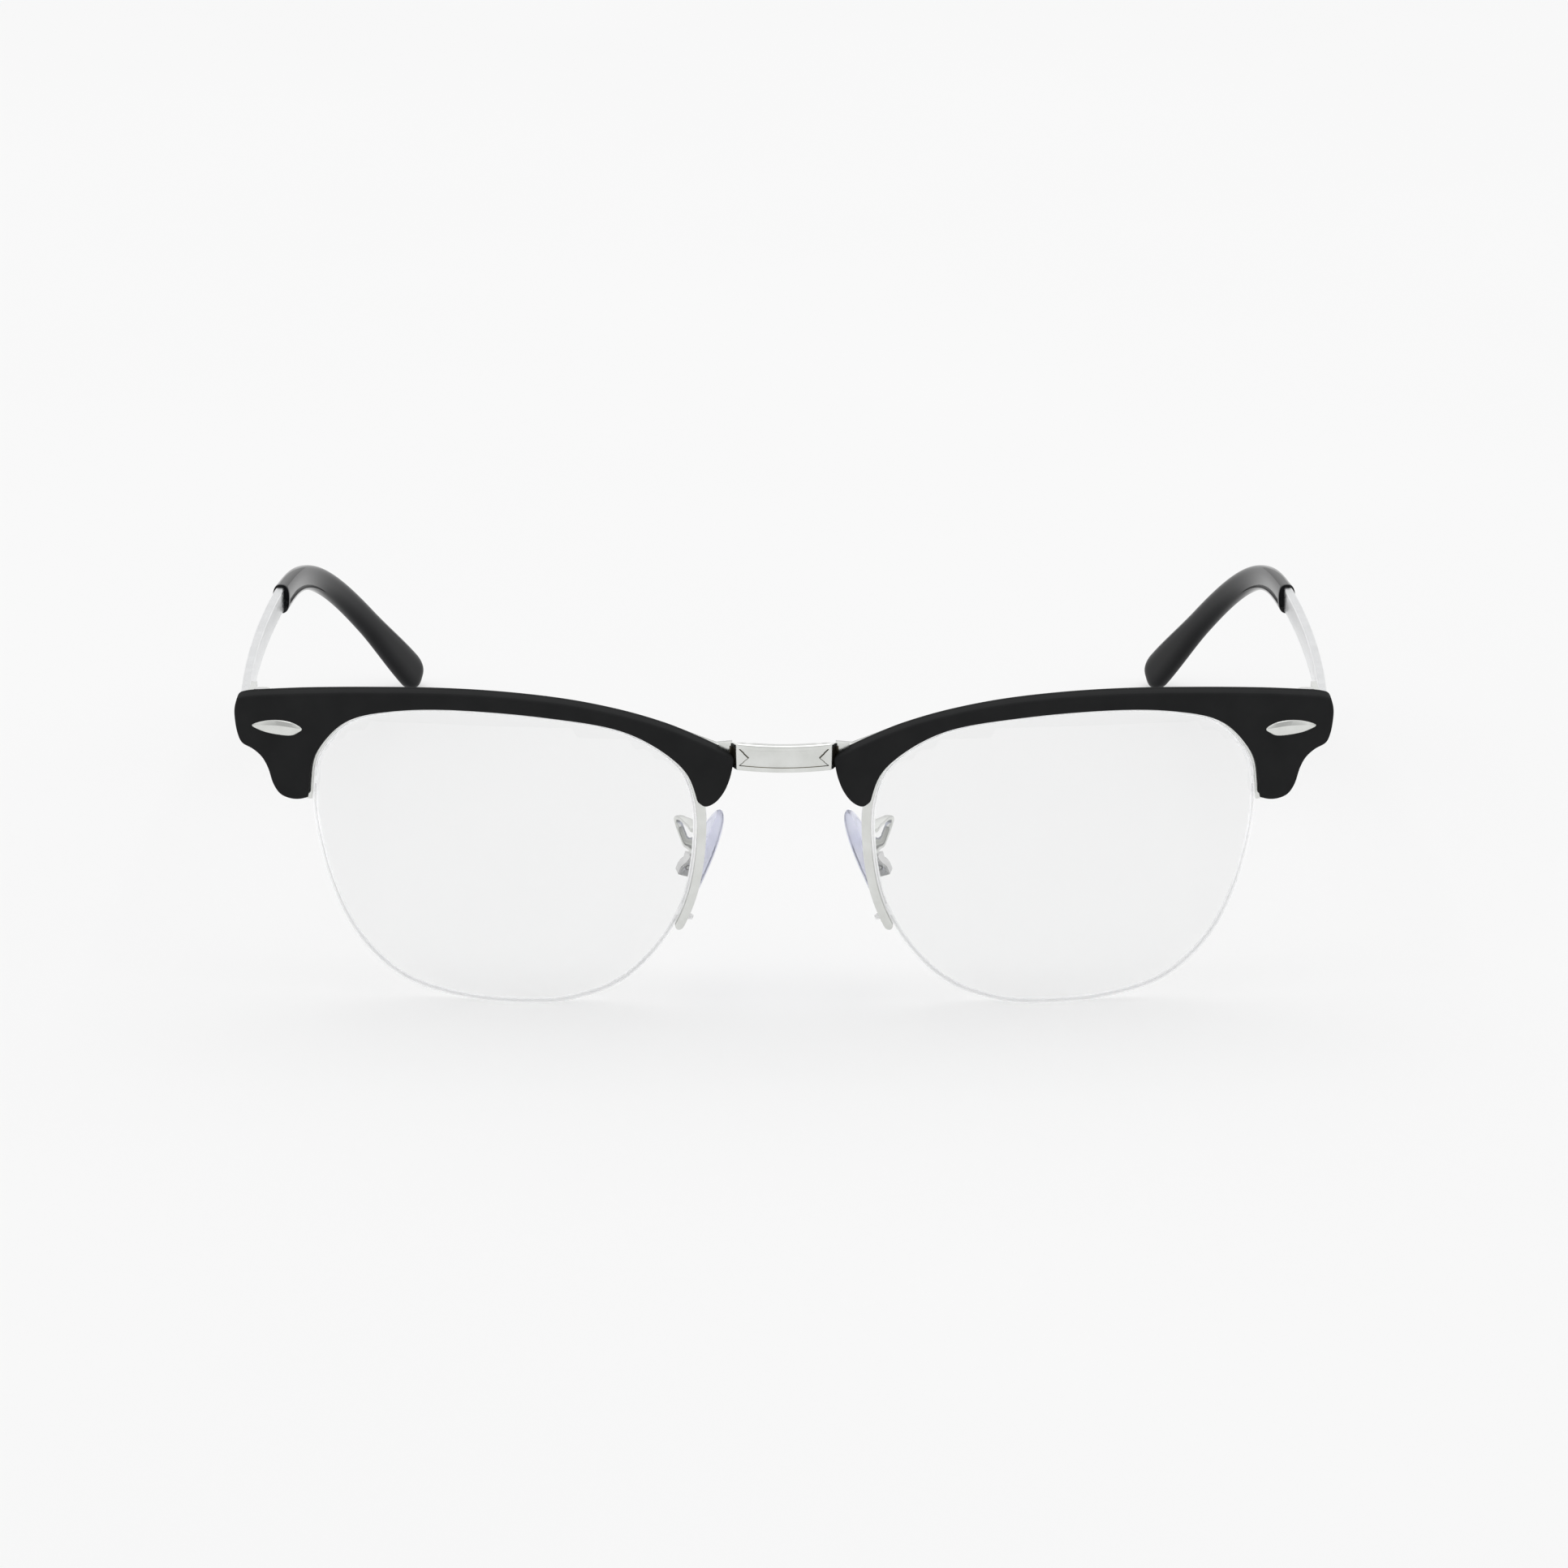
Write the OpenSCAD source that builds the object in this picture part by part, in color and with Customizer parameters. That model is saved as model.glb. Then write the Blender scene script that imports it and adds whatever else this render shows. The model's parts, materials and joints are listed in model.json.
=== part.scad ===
// Half rim eyeglasses with acetate brow bars over a metal front.
// The lenses hang from metal half rims on a nylon cord, the temples are slim metal bars
// with moulded tips, and the nose pads rock on screws.
// Millimetres, +Z up. The pair stands open on its lenses and temple tips, its front faces
// -Y, and +X is the wearer's left. The origin is under the middle of the whole pair.

/* [Lenses] */
// Width of one lens
eye_size = 49.6; // [48:0.1:51]
// Height of one lens
lens_height = 40; // [39:0.1:41]
// Gap between the two lenses at the nose
lens_gap = 22.5; // [21.5:0.1:23.5]
// Radius of the lens's front surface
base_radius = 132; // [125:1:140]

/* [Metal front] */
// Width of the half rim, outward from the lens edge
rim_width = 1.2; // [1.1:0.05:1.3]
// Height of the bridge
bridge_height = 3.6; // [3.2:0.1:4]
// How far the bridge bows forward
bridge_bow = 1.2; // [0.8:0.1:1.6]

/* [Brow bars] */
// How far a brow bar stands in front of the lens surface
brow_proud = 2; // [1.8:0.1:2.3]

/* [Temples] */
// Length of a temple from its hinge to its bend
temple_length = 91; // [86:1:96]
// Height of the metal temple at the hinge
temple_tall = 3.6; // [3.4:0.1:3.8]
// Thickness of the metal temple
temple_thick = 1.2; // [1:0.1:1.3]
// Angle at which a temple runs down to the back
temple_slope = 6; // [5.8:0.1:6.2]
// Length of the straight end of a temple tip, behind its bend
tip_end_length = 16.9; // [16.5:0.1:17.5]
// Angle of the bend over the ear
bend_angle = 52; // [50:1:54]

/* [Nose pads] */
// Length of a nose pad
pad_length = 15.5; // [14:0.5:16]
// Width of a nose pad
pad_width = 7.6; // [7:0.2:8]

/* [Hidden] */
$fn = 48;
ball_faces = 240;

// ---- places of the main features, from the driving dimensions ----
half_gap = lens_gap / 2;
lens_x = half_gap + eye_size / 2;
lens_z = lens_height / 2;
lens_thick = 2;
apex_x = lens_x - 10;               // the lens's front surface is furthest forward here
rim_back = lens_thick + 0.2;        // rear face of the metal front, behind the lens surface
brow_back = 0.8;                    // rear face of a brow bar
plate_front = brow_back + 0.05;     // front face of the plates behind the brow bars
fit = 0.02;                         // clearance of pieces that are pressed or screwed together

// The standard lens that the front's outlines are drawn for
std_w = 49.6;
std_h = 40;

// ---- outlines of the front, about the lens centre, nose side at -X ----
lens_points = [
    [-24.8, 3.0], [-23.6, -4.6], [-20.5, -11.0], [-15.2, -16.6], [-8.6, -19.4],
    [-2.2, -20.0], [6.0, -19.35], [13.6, -16.9], [19.3, -11.4], [22.7, -4.2],
    [24.6, 4.0], [24.7, 9.8], [23.7, 13.6], [20.0, 17.7], [14.2, 19.4],
    [6.0, 19.95], [-5.0, 19.3], [-15.2, 17.5], [-22.0, 13.4], [-24.35, 9.0]
];
brow_points = [
    [-24.1, 9.6], [-25.0, 8.5], [-26.0, 7.85], [-27.3, 8.4], [-28.4, 9.75],
    [-29.1, 11.4], [-29.45, 12.9], [-29.6, 13.9], [-29.1, 14.4], [-27.5, 15.2],
    [-25.0, 16.45], [-20.8, 18.3], [-15.0, 20.1], [-8.0, 21.5], [0.0, 22.3],
    [8.3, 22.5], [17.0, 22.15], [25.0, 21.5], [31.5, 20.65], [33.7, 20.2],
    [34.5, 19.7], [34.85, 18.5], [34.8, 17.0], [34.5, 15.4], [33.9, 14.2],
    [32.5, 13.55], [31.3, 12.6], [30.5, 11.2], [29.9, 9.3], [29.0, 8.0],
    [27.7, 7.5], [26.3, 7.55], [24.8, 8.1]
];
// Points inside the lens that close a brow bar's outline
brow_inside = [[20, 12], [0, 14], [-18, 12]];
rivet_points = [
    [3.3, -0.1], [1.9, 0.62], [0.0, 0.95], [-1.7, 0.85], [-2.7, 0.5],
    [-3.3, 0.0], [-2.5, -0.6], [-1.6, -0.9], [0.2, -0.88], [1.9, -0.65]
];
rivet_centre = [29.2, 16.85];
end_plate_points = [[20, 16.2], [32, 14.6], [33.9, 15.2], [33.9, 18.3], [32.6, 19.1], [18, 19.4]];
bridge_plate_points = [
    [-29.4, 12.5], [-29.4, 15.2], [-27.3, 15.1], [-21.8, 17.4], [-20, 15], [-23.5, 11], [-27, 11.6]
];
brow_screw_at = [-26.5, 13.9];
brow_screw_r = 0.6;
brow_screw_head_r = 0.9;
brow_screw_head_sunk = 0.25;        // half of the head's height
rivet_stud_r = 0.75;
rivet_sunk = 0.25;
rivet_proud = 0.35;

// Places along the lens outline, counted in lens_points from the nose side
nasal_end = 1.6;
nasal_hole = 1.42;
temple_hole = 10.85;
temple_end = 10.5;

// ---- hinge and temple ----
temple_front_x = 70.1;
hinge_x = 67.95;
hinge_y = 14;
hinge_mid_z = 36.6;
temple_mid_z = 36.2;
butt_y = 12.7;                      // where the endpiece stops the open temple
butt_gap = 0.1;
knuckle_r = 1.25;
knuckle_gap = 0.05;
hinge_tall = 4.8;
middle_tall = 1.5;
screw_r = 0.65;
screw_head_r = 0.95;
screw_head_tall = 0.5;
bow_out = 3.9;                      // a temple leaves its hinge heading outward by this angle
bow_turn = 7.4;                     // and turns inward by this angle on its way to the bend
bow_radius = temple_length / (bow_turn * PI / 180);
temple_end_tall = 3.3;
bend_radius = 32;
bend_roll = 31;                     // the bend leans inward, towards the head
sleeve_lap = 16;                    // the tip starts this far in front of the bend
sleeve_tall = 4.1;
sleeve_thick = 2.5;
mouth_depth = 2;
core_tall = 1.8;
core_thick = 0.8;
core_reach = 12;                    // the core wire ends this far behind the bend
joint_lap = 0.1;                    // stretches of one swept piece run into each other by this
slimmer = 0.01;                     // and a straight stretch is this much slimmer than a bend, on each side

// ---- nose pads ----
pad_at = [11.4, 8, 17.3];
pad_splay = 10;
pad_tilt = 22;
pad_thick = 1.9;
pad_rear = 0.7;                     // the pad's outer face, outward from its insert's middle
pad_pivot_x = 1.45;                 // the pad's screw, outward from its insert's middle
pad_pivot_z = -0.5;                 // and along the pad
pad_screw_r = 0.36;
// The flat strip of a pad arm: from the half rim, round one bend, down to the pad box
arm_start = [11.8, 2.6, 23.9];
arm_corner = [13.75, 9.2, 23.9];
arm_end = [12.3, 7.8, 18.3];
arm_bend = 2;
arm_wide = 1.0;
arm_thick = 0.6;

// ---- curves ----
function catmull(a, b, c, d, t) =
    0.5 * (2 * b + (c - a) * t + (2 * a - 5 * b + 4 * c - d) * t * t + (3 * b - a - 3 * c + d) * t * t * t);
// A smooth closed curve through the points, at a place counted in points
function loop_at(p, u) =
    let (n = len(p), i = floor(u), t = u - i)
    catmull(p[(i + n - 1) % n], p[i % n], p[(i + 1) % n], p[(i + 2) % n], t);
function loop(p, steps) = [for (i = [0 : len(p) - 1], s = [0 : steps - 1]) loop_at(p, i + s / steps)];
// A smooth open curve through the points
function path(p, steps) = concat(
    [for (i = [0 : len(p) - 2], s = [0 : steps - 1])
        catmull(p[max(i - 1, 0)], p[i], p[i + 1], p[min(i + 2, len(p) - 1)], s / steps)],
    [p[len(p) - 1]]);
function unit(v) = v / norm(v);
function outward(t) = unit([t[1], -t[0]]);
// The outline moved outward by a distance, along its own normals
function grown(p, distance) =
    let (n = len(p))
    [for (i = [0 : n - 1]) p[i] + distance * outward(p[(i + 1) % n] - p[(i + n - 1) % n])];

// ---- the front's outlines at their real place ----
function front_place(p) = [lens_x + p[0] * eye_size / std_w, lens_z + p[1] * lens_height / std_h];
function placed(points) = [for (p = points) front_place(p)];
lens_outline = placed(loop(lens_points, 3));
// A point beside the lens edge, outward from it by a distance
function beside_lens(u, distance) =
    front_place(loop_at(lens_points, u))
    + distance * outward(loop_at(lens_points, u + 0.05) - loop_at(lens_points, u - 0.05));
// How far back a curved layer of the front lies at a point
function layer_y(p, back) =
    base_radius - sqrt(pow(base_radius - back, 2) - pow(p[0] - apex_x, 2) - pow(p[1] - lens_z, 2));
function on_layer(p, back) = [p[0], layer_y(p, back), p[1]];

// ---- where the temple runs ----
function bow_heading(s) = bow_out - bow_turn * s / temple_length;
function bow_x(s, aside) = temple_front_x + bow_radius * (cos(bow_heading(s)) - cos(bow_out)) + aside;
function bow_y(s) = hinge_y + bow_radius * (sin(bow_out) - sin(bow_heading(s)));
function temple_z(y) = temple_mid_z - (y - hinge_y) * tan(temple_slope);
bend_at = [bow_x(temple_length, 0), bow_y(temple_length), temple_z(bow_y(temple_length))];
bend_heading = -bow_heading(temple_length);
mouth_y = bow_y(temple_length - sleeve_lap);
// How far the tip reaches back and down beyond the start of its bend
paddle_round = 0.3;                 // the flared end reaches this much beyond a half circle
paddle_corner = 1.7;                // and its upper corner reaches this much beyond its middle
tip_reach = bend_radius * sin(bend_angle) + (tip_end_length + paddle_round) * cos(bend_angle);
tip_fall = bend_radius * (1 - cos(bend_angle)) + (tip_end_length + paddle_round) * sin(bend_angle);
back_y = bend_at[1] + tip_reach * cos(temple_slope)
    - tip_fall * cos(bend_roll) * sin(temple_slope) + paddle_corner;
front_y = -brow_proud;
middle_y = (front_y + back_y) / 2;

// ---- shared construction ----
// Moves the front's own frame so that the origin is under the middle of the pair
module stand() {
    translate([0, -middle_y, 0]) children();
}
module left() {
    stand() children();
}
module right() {
    stand() mirror([1, 0, 0]) children();
}
// A flat outline drawn in X and Z, as a solid that runs along Y
module along_y(from, to) {
    translate([0, to, 0]) rotate([90, 0, 0]) linear_extrude(to - from) children();
}
// An outline drawn in Y and Z, as a solid that runs along X
module along_x(from, to) {
    translate([from, 0, 0]) rotate([90, 0, 90]) linear_extrude(to - from) children();
}
module ball(back) {
    translate([apex_x, base_radius, lens_z]) sphere(base_radius - back, $fn = ball_faces);
}
// An outline drawn in X and Z, carried through the whole depth of the front
module through_front() {
    along_y(-5, 20) children();
}
// An outline as a curved layer that follows the lens surface, between two depths behind it
module layer(front, back) {
    intersection() {
        through_front() children();
        difference() {
            ball(front);
            ball(back);
        }
    }
}
module lens_area(distance) {
    polygon(grown(lens_outline, distance));
}
module lens_band(inner, outer) {
    difference() {
        lens_area(outer);
        lens_area(inner);
    }
}
// The stretch under the lens that the half rim leaves open, between two places on its outline
module open_sector(from, to) {
    side = eye_size * 0.7;
    low = -lens_height * 0.2;
    polygon([
        beside_lens(from, -4), beside_lens(from, 6), [lens_x - side, low], [lens_x + side, low],
        beside_lens(to, 6), beside_lens(to, -4), [lens_x, lens_z]
    ]);
}
// A round rod between two points
module rod(a, b, r) {
    v = b - a;
    translate(a) rotate([0, acos(v[2] / norm(v)), atan2(v[1], v[0])]) cylinder(r = r, h = norm(v));
}
// A flat strip from a towards a corner, round it and on to c
module bent_strip(a, corner, c, bend, thick, wide) {
    e1 = unit(corner - a);
    last = unit(c - corner);
    turn = acos(e1 * last);
    e2 = unit(last - e1 * (e1 * last));
    e3 = cross(e1, e2);
    cut = bend * tan(turn / 2);
    leg = norm(corner - a) - cut;
    module bar(from, to) {
        translate([from, slimmer - thick / 2, slimmer - wide / 2])
            cube([to - from, thick - 2 * slimmer, wide - 2 * slimmer]);
    }
    multmatrix([for (i = [0 : 2]) [e1[i], e2[i], e3[i], a[i]]]) {
        bar(0, leg + joint_lap);
        translate([leg, bend, 0]) rotate(-90) rotate_extrude(angle = turn, $fn = 96)
            translate([bend, 0]) square([thick, wide], center = true);
        translate([leg, bend, 0]) rotate(turn) translate([0, -bend, 0])
            bar(-joint_lap, norm(c - corner) - cut);
    }
}
// A pin along Y through a point of the front's outline
module pin_y(p, from, to, r) {
    translate([p[0], to, p[1]]) rotate([90, 0, 0]) cylinder(r = r, h = to - from);
}

// ---- lenses and what holds them ----
module lens() {
    color("lightcyan", 0.4) difference() {
        layer(0, lens_thick) lens_area(0);
        layer(0.7, 1.3) lens_band(-0.5, 1);
    }
}
rim_gap = 0.03;                     // between the half rim and the lens edge
channel_outer = 0.6;                // the liner's channel ends this far outside the lens edge
cord_layer = 1;                     // depth of the cord's middle behind the lens surface
module cord_hole(u) {
    rod(on_layer(beside_lens(u, -0.3), cord_layer), on_layer(beside_lens(u, 2.2), cord_layer), 0.32);
}
module rim() {
    end_r = (rim_width - rim_gap) / 2;
    color("silver") difference() {
        layer(-0.2, rim_back) union() {
            difference() {
                lens_band(rim_gap, rim_width);
                open_sector(nasal_end, temple_end);
            }
            translate(beside_lens(nasal_end, rim_gap + end_r)) circle(end_r);
        }
        layer(0.5, 1.5) lens_band(-1, channel_outer);
        cord_hole(nasal_hole);
        cord_hole(temple_hole);
    }
}
module rim_liner() {
    color("whitesmoke") difference() {
        union() {
            layer(0.55, 1.45) lens_band(rim_gap + fit, channel_outer - 0.04);
            layer(0.78, 1.22) lens_band(-0.42, 0.1);
        }
        through_front() open_sector(nasal_hole - 0.2, temple_hole + 0.2);
    }
}
module cord_end(u) {
    function spot(distance) = on_layer(beside_lens(u, distance), cord_layer);
    outer = rim_width + 0.04;
    rod(spot(-0.35), spot(outer + 0.1), 0.25);
    rod(spot(outer), spot(outer + 0.5), 0.45);
}
module nylon_cord() {
    color("white") {
        layer(0.76, 1.24) intersection() {
            lens_band(-0.45, -0.02);
            open_sector(nasal_hole, temple_hole);
        }
        cord_end(nasal_hole);
    }
}

// ---- brow bars ----
module brow_outline() {
    difference() {
        polygon(placed(concat(path(brow_points, 2), brow_inside)));
        lens_area(0.45);
    }
}
module rivet_outline(distance) {
    polygon(placed([for (p = grown(loop(rivet_points, 2), distance)) p + rivet_centre]));
}
module brow() {
    color("black") difference() {
        layer(-brow_proud, brow_back) brow_outline();
        layer(-0.25, 3) lens_area(rim_width + 0.05);
        layer(-4, -brow_proud + rivet_sunk) rivet_outline(fit);
        pin_y(front_place(rivet_centre), 0, 15, rivet_stud_r + fit);
        pin_y(front_place(brow_screw_at), 0.9, 6, brow_screw_r + fit);
    }
}
module brow_rivet() {
    at = front_place(rivet_centre);
    color("gainsboro") union() {
        layer(-brow_proud - rivet_proud, -brow_proud + rivet_sunk) rivet_outline(0);
        pin_y(at, layer_y(at, -brow_proud + 0.1), layer_y(at, rim_back), rivet_stud_r);
    }
}
module brow_screw() {
    at = front_place(brow_screw_at);
    seat = layer_y(at, rim_back) - brow_screw_head_sunk;
    color("silver") union() {
        pin_y(at, 0.95, seat + 0.1, brow_screw_r);
        pin_y(at, seat, seat + 2 * brow_screw_head_sunk, brow_screw_head_r);
    }
}

// ---- metal front ----
module bridge_plates() {
    at = front_place(brow_screw_at);
    difference() {
        layer(plate_front, rim_back) difference() {
            polygon(placed(bridge_plate_points));
            lens_area(rim_width);
        }
        pin_y(at, -1, 9, brow_screw_r + fit);
        pin_y(at, layer_y(at, rim_back) - brow_screw_head_sunk, 9, brow_screw_head_r + fit);
    }
}
// Half of the bridge's plan: a bowed bar whose end turns back behind the brow bar
bar_end_x = half_gap - 4.95;
bridge_thick = 1.9;
bridge_rise = 14.3;                 // the bar's middle, above the lens's middle
bar_end_y = 0.3;
leg_front = 3.1;                    // the turned-back ends meet the plates here
leg_back = 4.2;
leg_wide = 0.9;
shoulder_slope = 19;                // the top falls towards the back by this angle, behind shoulder_y
shoulder_y = 0.6;
function bow_front(x) = bar_end_y - bridge_bow * (1 - pow(x / bar_end_x, 2));
bridge_steps = 8;
bridge_half = concat(
    [for (i = [0 : bridge_steps]) let (x = bar_end_x * i / bridge_steps) [x, bow_front(x)]],
    [[bar_end_x, leg_front], [bar_end_x + leg_wide, leg_front + 0.1], [bar_end_x + leg_wide, leg_back],
     [bar_end_x - 0.6, leg_back - 0.1], [bar_end_x - 1.4, bow_front(bar_end_x - 1.4) + bridge_thick]],
    [for (i = [5 : -1 : 0]) let (x = bar_end_x * i / bridge_steps) [x, bow_front(x) + bridge_thick]]);
// The recessed band on the bridge's face, pointed at its ends
band_half_tall = 0.85;
band_deep = 0.3;
band_corner_x = 4.3;
band_end_x = 5.1;
band_points = [
    [-band_corner_x, -band_half_tall], [band_corner_x, -band_half_tall], [band_end_x, 0],
    [band_corner_x, band_half_tall], [-band_corner_x, band_half_tall], [-band_end_x, 0]
];
module bridge() {
    mid_z = lens_z + bridge_rise;
    color("silver") union() {
        difference() {
            for (side = [0, 1]) mirror([side, 0, 0])
                translate([0, 0, mid_z - bridge_height / 2]) linear_extrude(bridge_height)
                    polygon(bridge_half);
            intersection() {
                translate([0, 0, mid_z]) along_y(-5, 1) polygon(band_points);
                translate([0, 0, mid_z - 2]) linear_extrude(4) polygon(concat(
                    [[bar_end_x, -5], [-bar_end_x, -5]],
                    [for (i = [-bridge_steps : bridge_steps])
                        let (x = bar_end_x * i / bridge_steps) [x, bow_front(x) + band_deep]]));
            }
            translate([-half_gap, shoulder_y, mid_z + bridge_height / 2])
                rotate([-shoulder_slope, 0, 0]) cube([lens_gap, 6, 3]);
        }
        for (side = [0, 1]) mirror([side, 0, 0]) bridge_plates();
    }
}
module endpiece() {
    inner_x = temple_front_x - temple_thick / 2;
    return_y = 8.5;
    color("silver") union() {
        difference() {
            layer(plate_front, rim_back) difference() {
                polygon(placed(end_plate_points));
                lens_area(rim_width);
            }
            pin_y(front_place(rivet_centre), 0, 15, rivet_stud_r + fit);
        }
        // The return that runs back to the hinge, and stops the open temple
        intersection() {
            translate([inner_x, return_y, temple_mid_z - temple_tall / 2])
                cube([temple_thick, butt_y - return_y, temple_tall + 0.4]);
            ball(plate_front);
        }
    }
}

// ---- hinges ----
module hinge_pin(r, from, to) {
    translate([hinge_x, hinge_y, from]) cylinder(r = r, h = to - from);
}
hinge_low = hinge_mid_z - hinge_tall / 2;
hinge_high = hinge_mid_z + hinge_tall / 2;
middle_low = hinge_mid_z - middle_tall / 2;
middle_high = hinge_mid_z + middle_tall / 2;
// The two knuckles on the front, on one leaf that is soldered to the endpiece
module hinge_front() {
    leaf_x = temple_front_x - temple_thick / 2;
    inner_x = hinge_x - 0.6;
    leaf_y = hinge_y - 3;
    leaf_thick = 1.5;
    gap_low = middle_low - knuckle_gap;
    gap_tall = middle_tall + 2 * knuckle_gap;
    color("gainsboro") difference() {
        union() {
            hinge_pin(knuckle_r, hinge_low, hinge_high);
            translate([inner_x, leaf_y, hinge_low]) cube([leaf_x - inner_x, leaf_thick, hinge_tall]);
            translate([inner_x, leaf_y + 1, hinge_low]) cube([1.6, 1.3, hinge_tall]);
        }
        translate([hinge_x - 2, leaf_y + leaf_thick + 0.05, gap_low]) cube([5, 4, gap_tall]);
        hinge_pin(knuckle_r + 0.15, gap_low, gap_low + gap_tall);
        hinge_pin(screw_r + fit, hinge_low - 1, hinge_high + 1);
        hinge_pin(screw_head_r + fit, hinge_high - screw_head_tall, hinge_high + 1);
    }
}
module hinge_screw() {
    slot_wide = 0.24;
    color("silver") difference() {
        union() {
            hinge_pin(screw_r, hinge_low, hinge_high - 0.1);
            hinge_pin(screw_head_r, hinge_high - screw_head_tall, hinge_high);
        }
        translate([hinge_x - 2, hinge_y - slot_wide / 2, hinge_high - 0.25]) cube([4, slot_wide, 1]);
    }
}
module hinge_leaf() {
    plate_x = temple_front_x - 1.1;
    plate_long = 5;
    color("gainsboro") difference() {
        union() {
            hinge_pin(knuckle_r, middle_low, middle_high);
            translate([hinge_x, hinge_y + 0.2, middle_low])
                cube([temple_front_x - hinge_x, 2.3, middle_tall]);
            translate([plate_x, hinge_y + 1.7, hinge_mid_z - 1.8]) cube([1.4, plate_long, 3.2]);
        }
        temple_strip(butt_y, 30, 0);
        translate([temple_front_x - temple_thick / 2 + 0.3, 0, 0]) cube([5, 50, 50]);
        hinge_pin(screw_r + 0.03, hinge_low, hinge_high);
    }
}

// ---- temples ----
// The metal bar between two places along Y, grown on all sides by a clearance
module temple_strip(from_y, to_y, clear) {
    slope = (temple_tall - temple_end_tall) / 2 / temple_length;
    function half_tall(y) = temple_tall / 2 - slope * (y - hinge_y) + clear;
    half_thick = temple_thick / 2 + clear;
    steps = 14;
    spots = [for (i = [-1 : steps]) temple_length * i / steps];
    intersection() {
        along_x(60, 80) polygon([
            [from_y, temple_z(from_y) - half_tall(from_y)], [to_y, temple_z(to_y) - half_tall(to_y)],
            [to_y, temple_z(to_y) + half_tall(to_y)], [from_y, temple_z(from_y) + half_tall(from_y)]
        ]);
        linear_extrude(60) polygon(concat(
            [for (s = spots) [bow_x(s, half_thick), bow_y(s)]],
            [for (i = [len(spots) - 1 : -1 : 0]) [bow_x(spots[i], -half_thick), bow_y(spots[i])]]));
    }
}
// The start of the bend: +Y runs on along the temple, and the bend turns towards -Z
module at_bend() {
    translate(bend_at) rotate([-temple_slope, 0, bend_heading]) rotate([0, bend_roll, 0]) children();
}
// The end of the bend, in the same way
module after_bend() {
    at_bend() translate([0, 0, -bend_radius]) rotate([-bend_angle, 0, 0])
        translate([0, 0, bend_radius]) rotate([0, -bend_roll, 0]) children();
}
// Two sections, drawn thick along X and tall along Y: the first swept along the straight stretch
// in front of the bend, the second round the bend
module tip_sweep(lead) {
    at_bend() {
        rotate([0, -bend_roll, 0]) translate([0, joint_lap, 0])
            rotate([90, 0, 0]) linear_extrude(lead + joint_lap) children(0);
        translate([0, 0, -bend_radius]) rotate([0, -90, 0]) rotate_extrude(angle = bend_angle, $fn = 180)
            translate([bend_radius, 0]) rotate(bend_roll - 90) children(1);
    }
}
module core_section(clear) {
    square([core_thick + 2 * clear, core_tall + 2 * clear], center = true);
}
// The wire inside a tip, grown on all sides by a clearance
module core(lead, clear) {
    tip_sweep(lead) {
        core_section(clear - slimmer);
        core_section(clear);
    }
    after_bend() translate([0, core_reach + clear, 0]) rotate([90, 0, 0])
        linear_extrude(core_reach + clear + joint_lap) core_section(clear - slimmer);
}
module oval(tall, thick) {
    spread = (tall - thick) / 2;
    for (side = [-1, 1]) translate([0, side * spread]) circle(d = thick);
    square([thick, 2 * spread], center = true);
}
module temple() {
    color("silver") union() {
        temple_strip(butt_y + butt_gap, mouth_y + mouth_depth, 0);
        core(sleeve_lap - mouth_depth + 0.5, 0);
    }
}
// The flared end of a tip, drawn along X and its height along Y
paddle_half = 2.75;
paddle_thick = 2.4;
neck_half = sleeve_tall / 2 + 0.05;
function flare(t) = neck_half + (paddle_half - neck_half) * (3 - 2 * t) * t * t;
module paddle_outline() {
    steps = 8;
    flank = tip_end_length - paddle_half;
    side = [for (i = [0 : steps]) [flank * i / steps - (i == 0 ? joint_lap : 0), flare(i / steps)]];
    arc = [for (a = [75 : -15 : -75]) [flank + (paddle_half + paddle_round) * cos(a), paddle_half * sin(a)]];
    polygon(concat(side, arc, [for (i = [steps : -1 : 0]) [side[i][0], -side[i][1]]]));
}
module temple_tip() {
    color("black") difference() {
        union() {
            tip_sweep(sleeve_lap) {
                oval(sleeve_tall - 2 * slimmer, sleeve_thick - 2 * slimmer);
                oval(sleeve_tall, sleeve_thick);
            }
            after_bend() along_x(-paddle_thick / 2, paddle_thick / 2) paddle_outline();
        }
        temple_strip(mouth_y - 3, mouth_y + mouth_depth + fit, 0.05);
        core(sleeve_lap, fit);
    }
}

// ---- nose pads ----
// The pad's own frame: X outward from the nose, Y back across the pad, Z up along it
module at_pad() {
    translate(pad_at) rotate([0, 0, -pad_splay]) rotate([0, -pad_tilt, 0]) children();
}
module pad_pivot(r, from, to) {
    translate([pad_pivot_x, to, pad_pivot_z]) rotate([90, 0, 0]) cylinder(r = r, h = to - from);
}
cheek_in = 0.5;
cheek_out = 1.2;
box_front = 0.95;
box_rear = 2.15;
box_tall = 2.6;
box_wall = 0.2;
module pad_box_envelope() {
    translate([box_front, -cheek_out, pad_pivot_z - box_tall / 2])
        cube([box_rear - box_front, 2 * cheek_out, box_tall]);
}
module pad_box() {
    color("silver") at_pad() difference() {
        pad_box_envelope();
        translate([0, -cheek_in, -3]) cube([box_rear - box_wall, 2 * cheek_in, 6]);
        pad_pivot(pad_screw_r + fit, -3, 3);
    }
}
module pad_arm() {
    color("silver") difference() {
        bent_strip(arm_start, arm_corner, arm_end, arm_bend, arm_thick, arm_wide);
        layer(-3, rim_back) square(100);
        at_pad() pad_box_envelope();
    }
}
module pad_screw() {
    color("gainsboro") at_pad() union() {
        pad_pivot(pad_screw_r, -cheek_out, cheek_out + 0.1);
        pad_pivot(0.65, cheek_out, cheek_out + 0.4);
    }
}
insert_size = [0.6, 3.2, 5.6];
lug_half = 0.45;
lug_r = 0.5;
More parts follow.
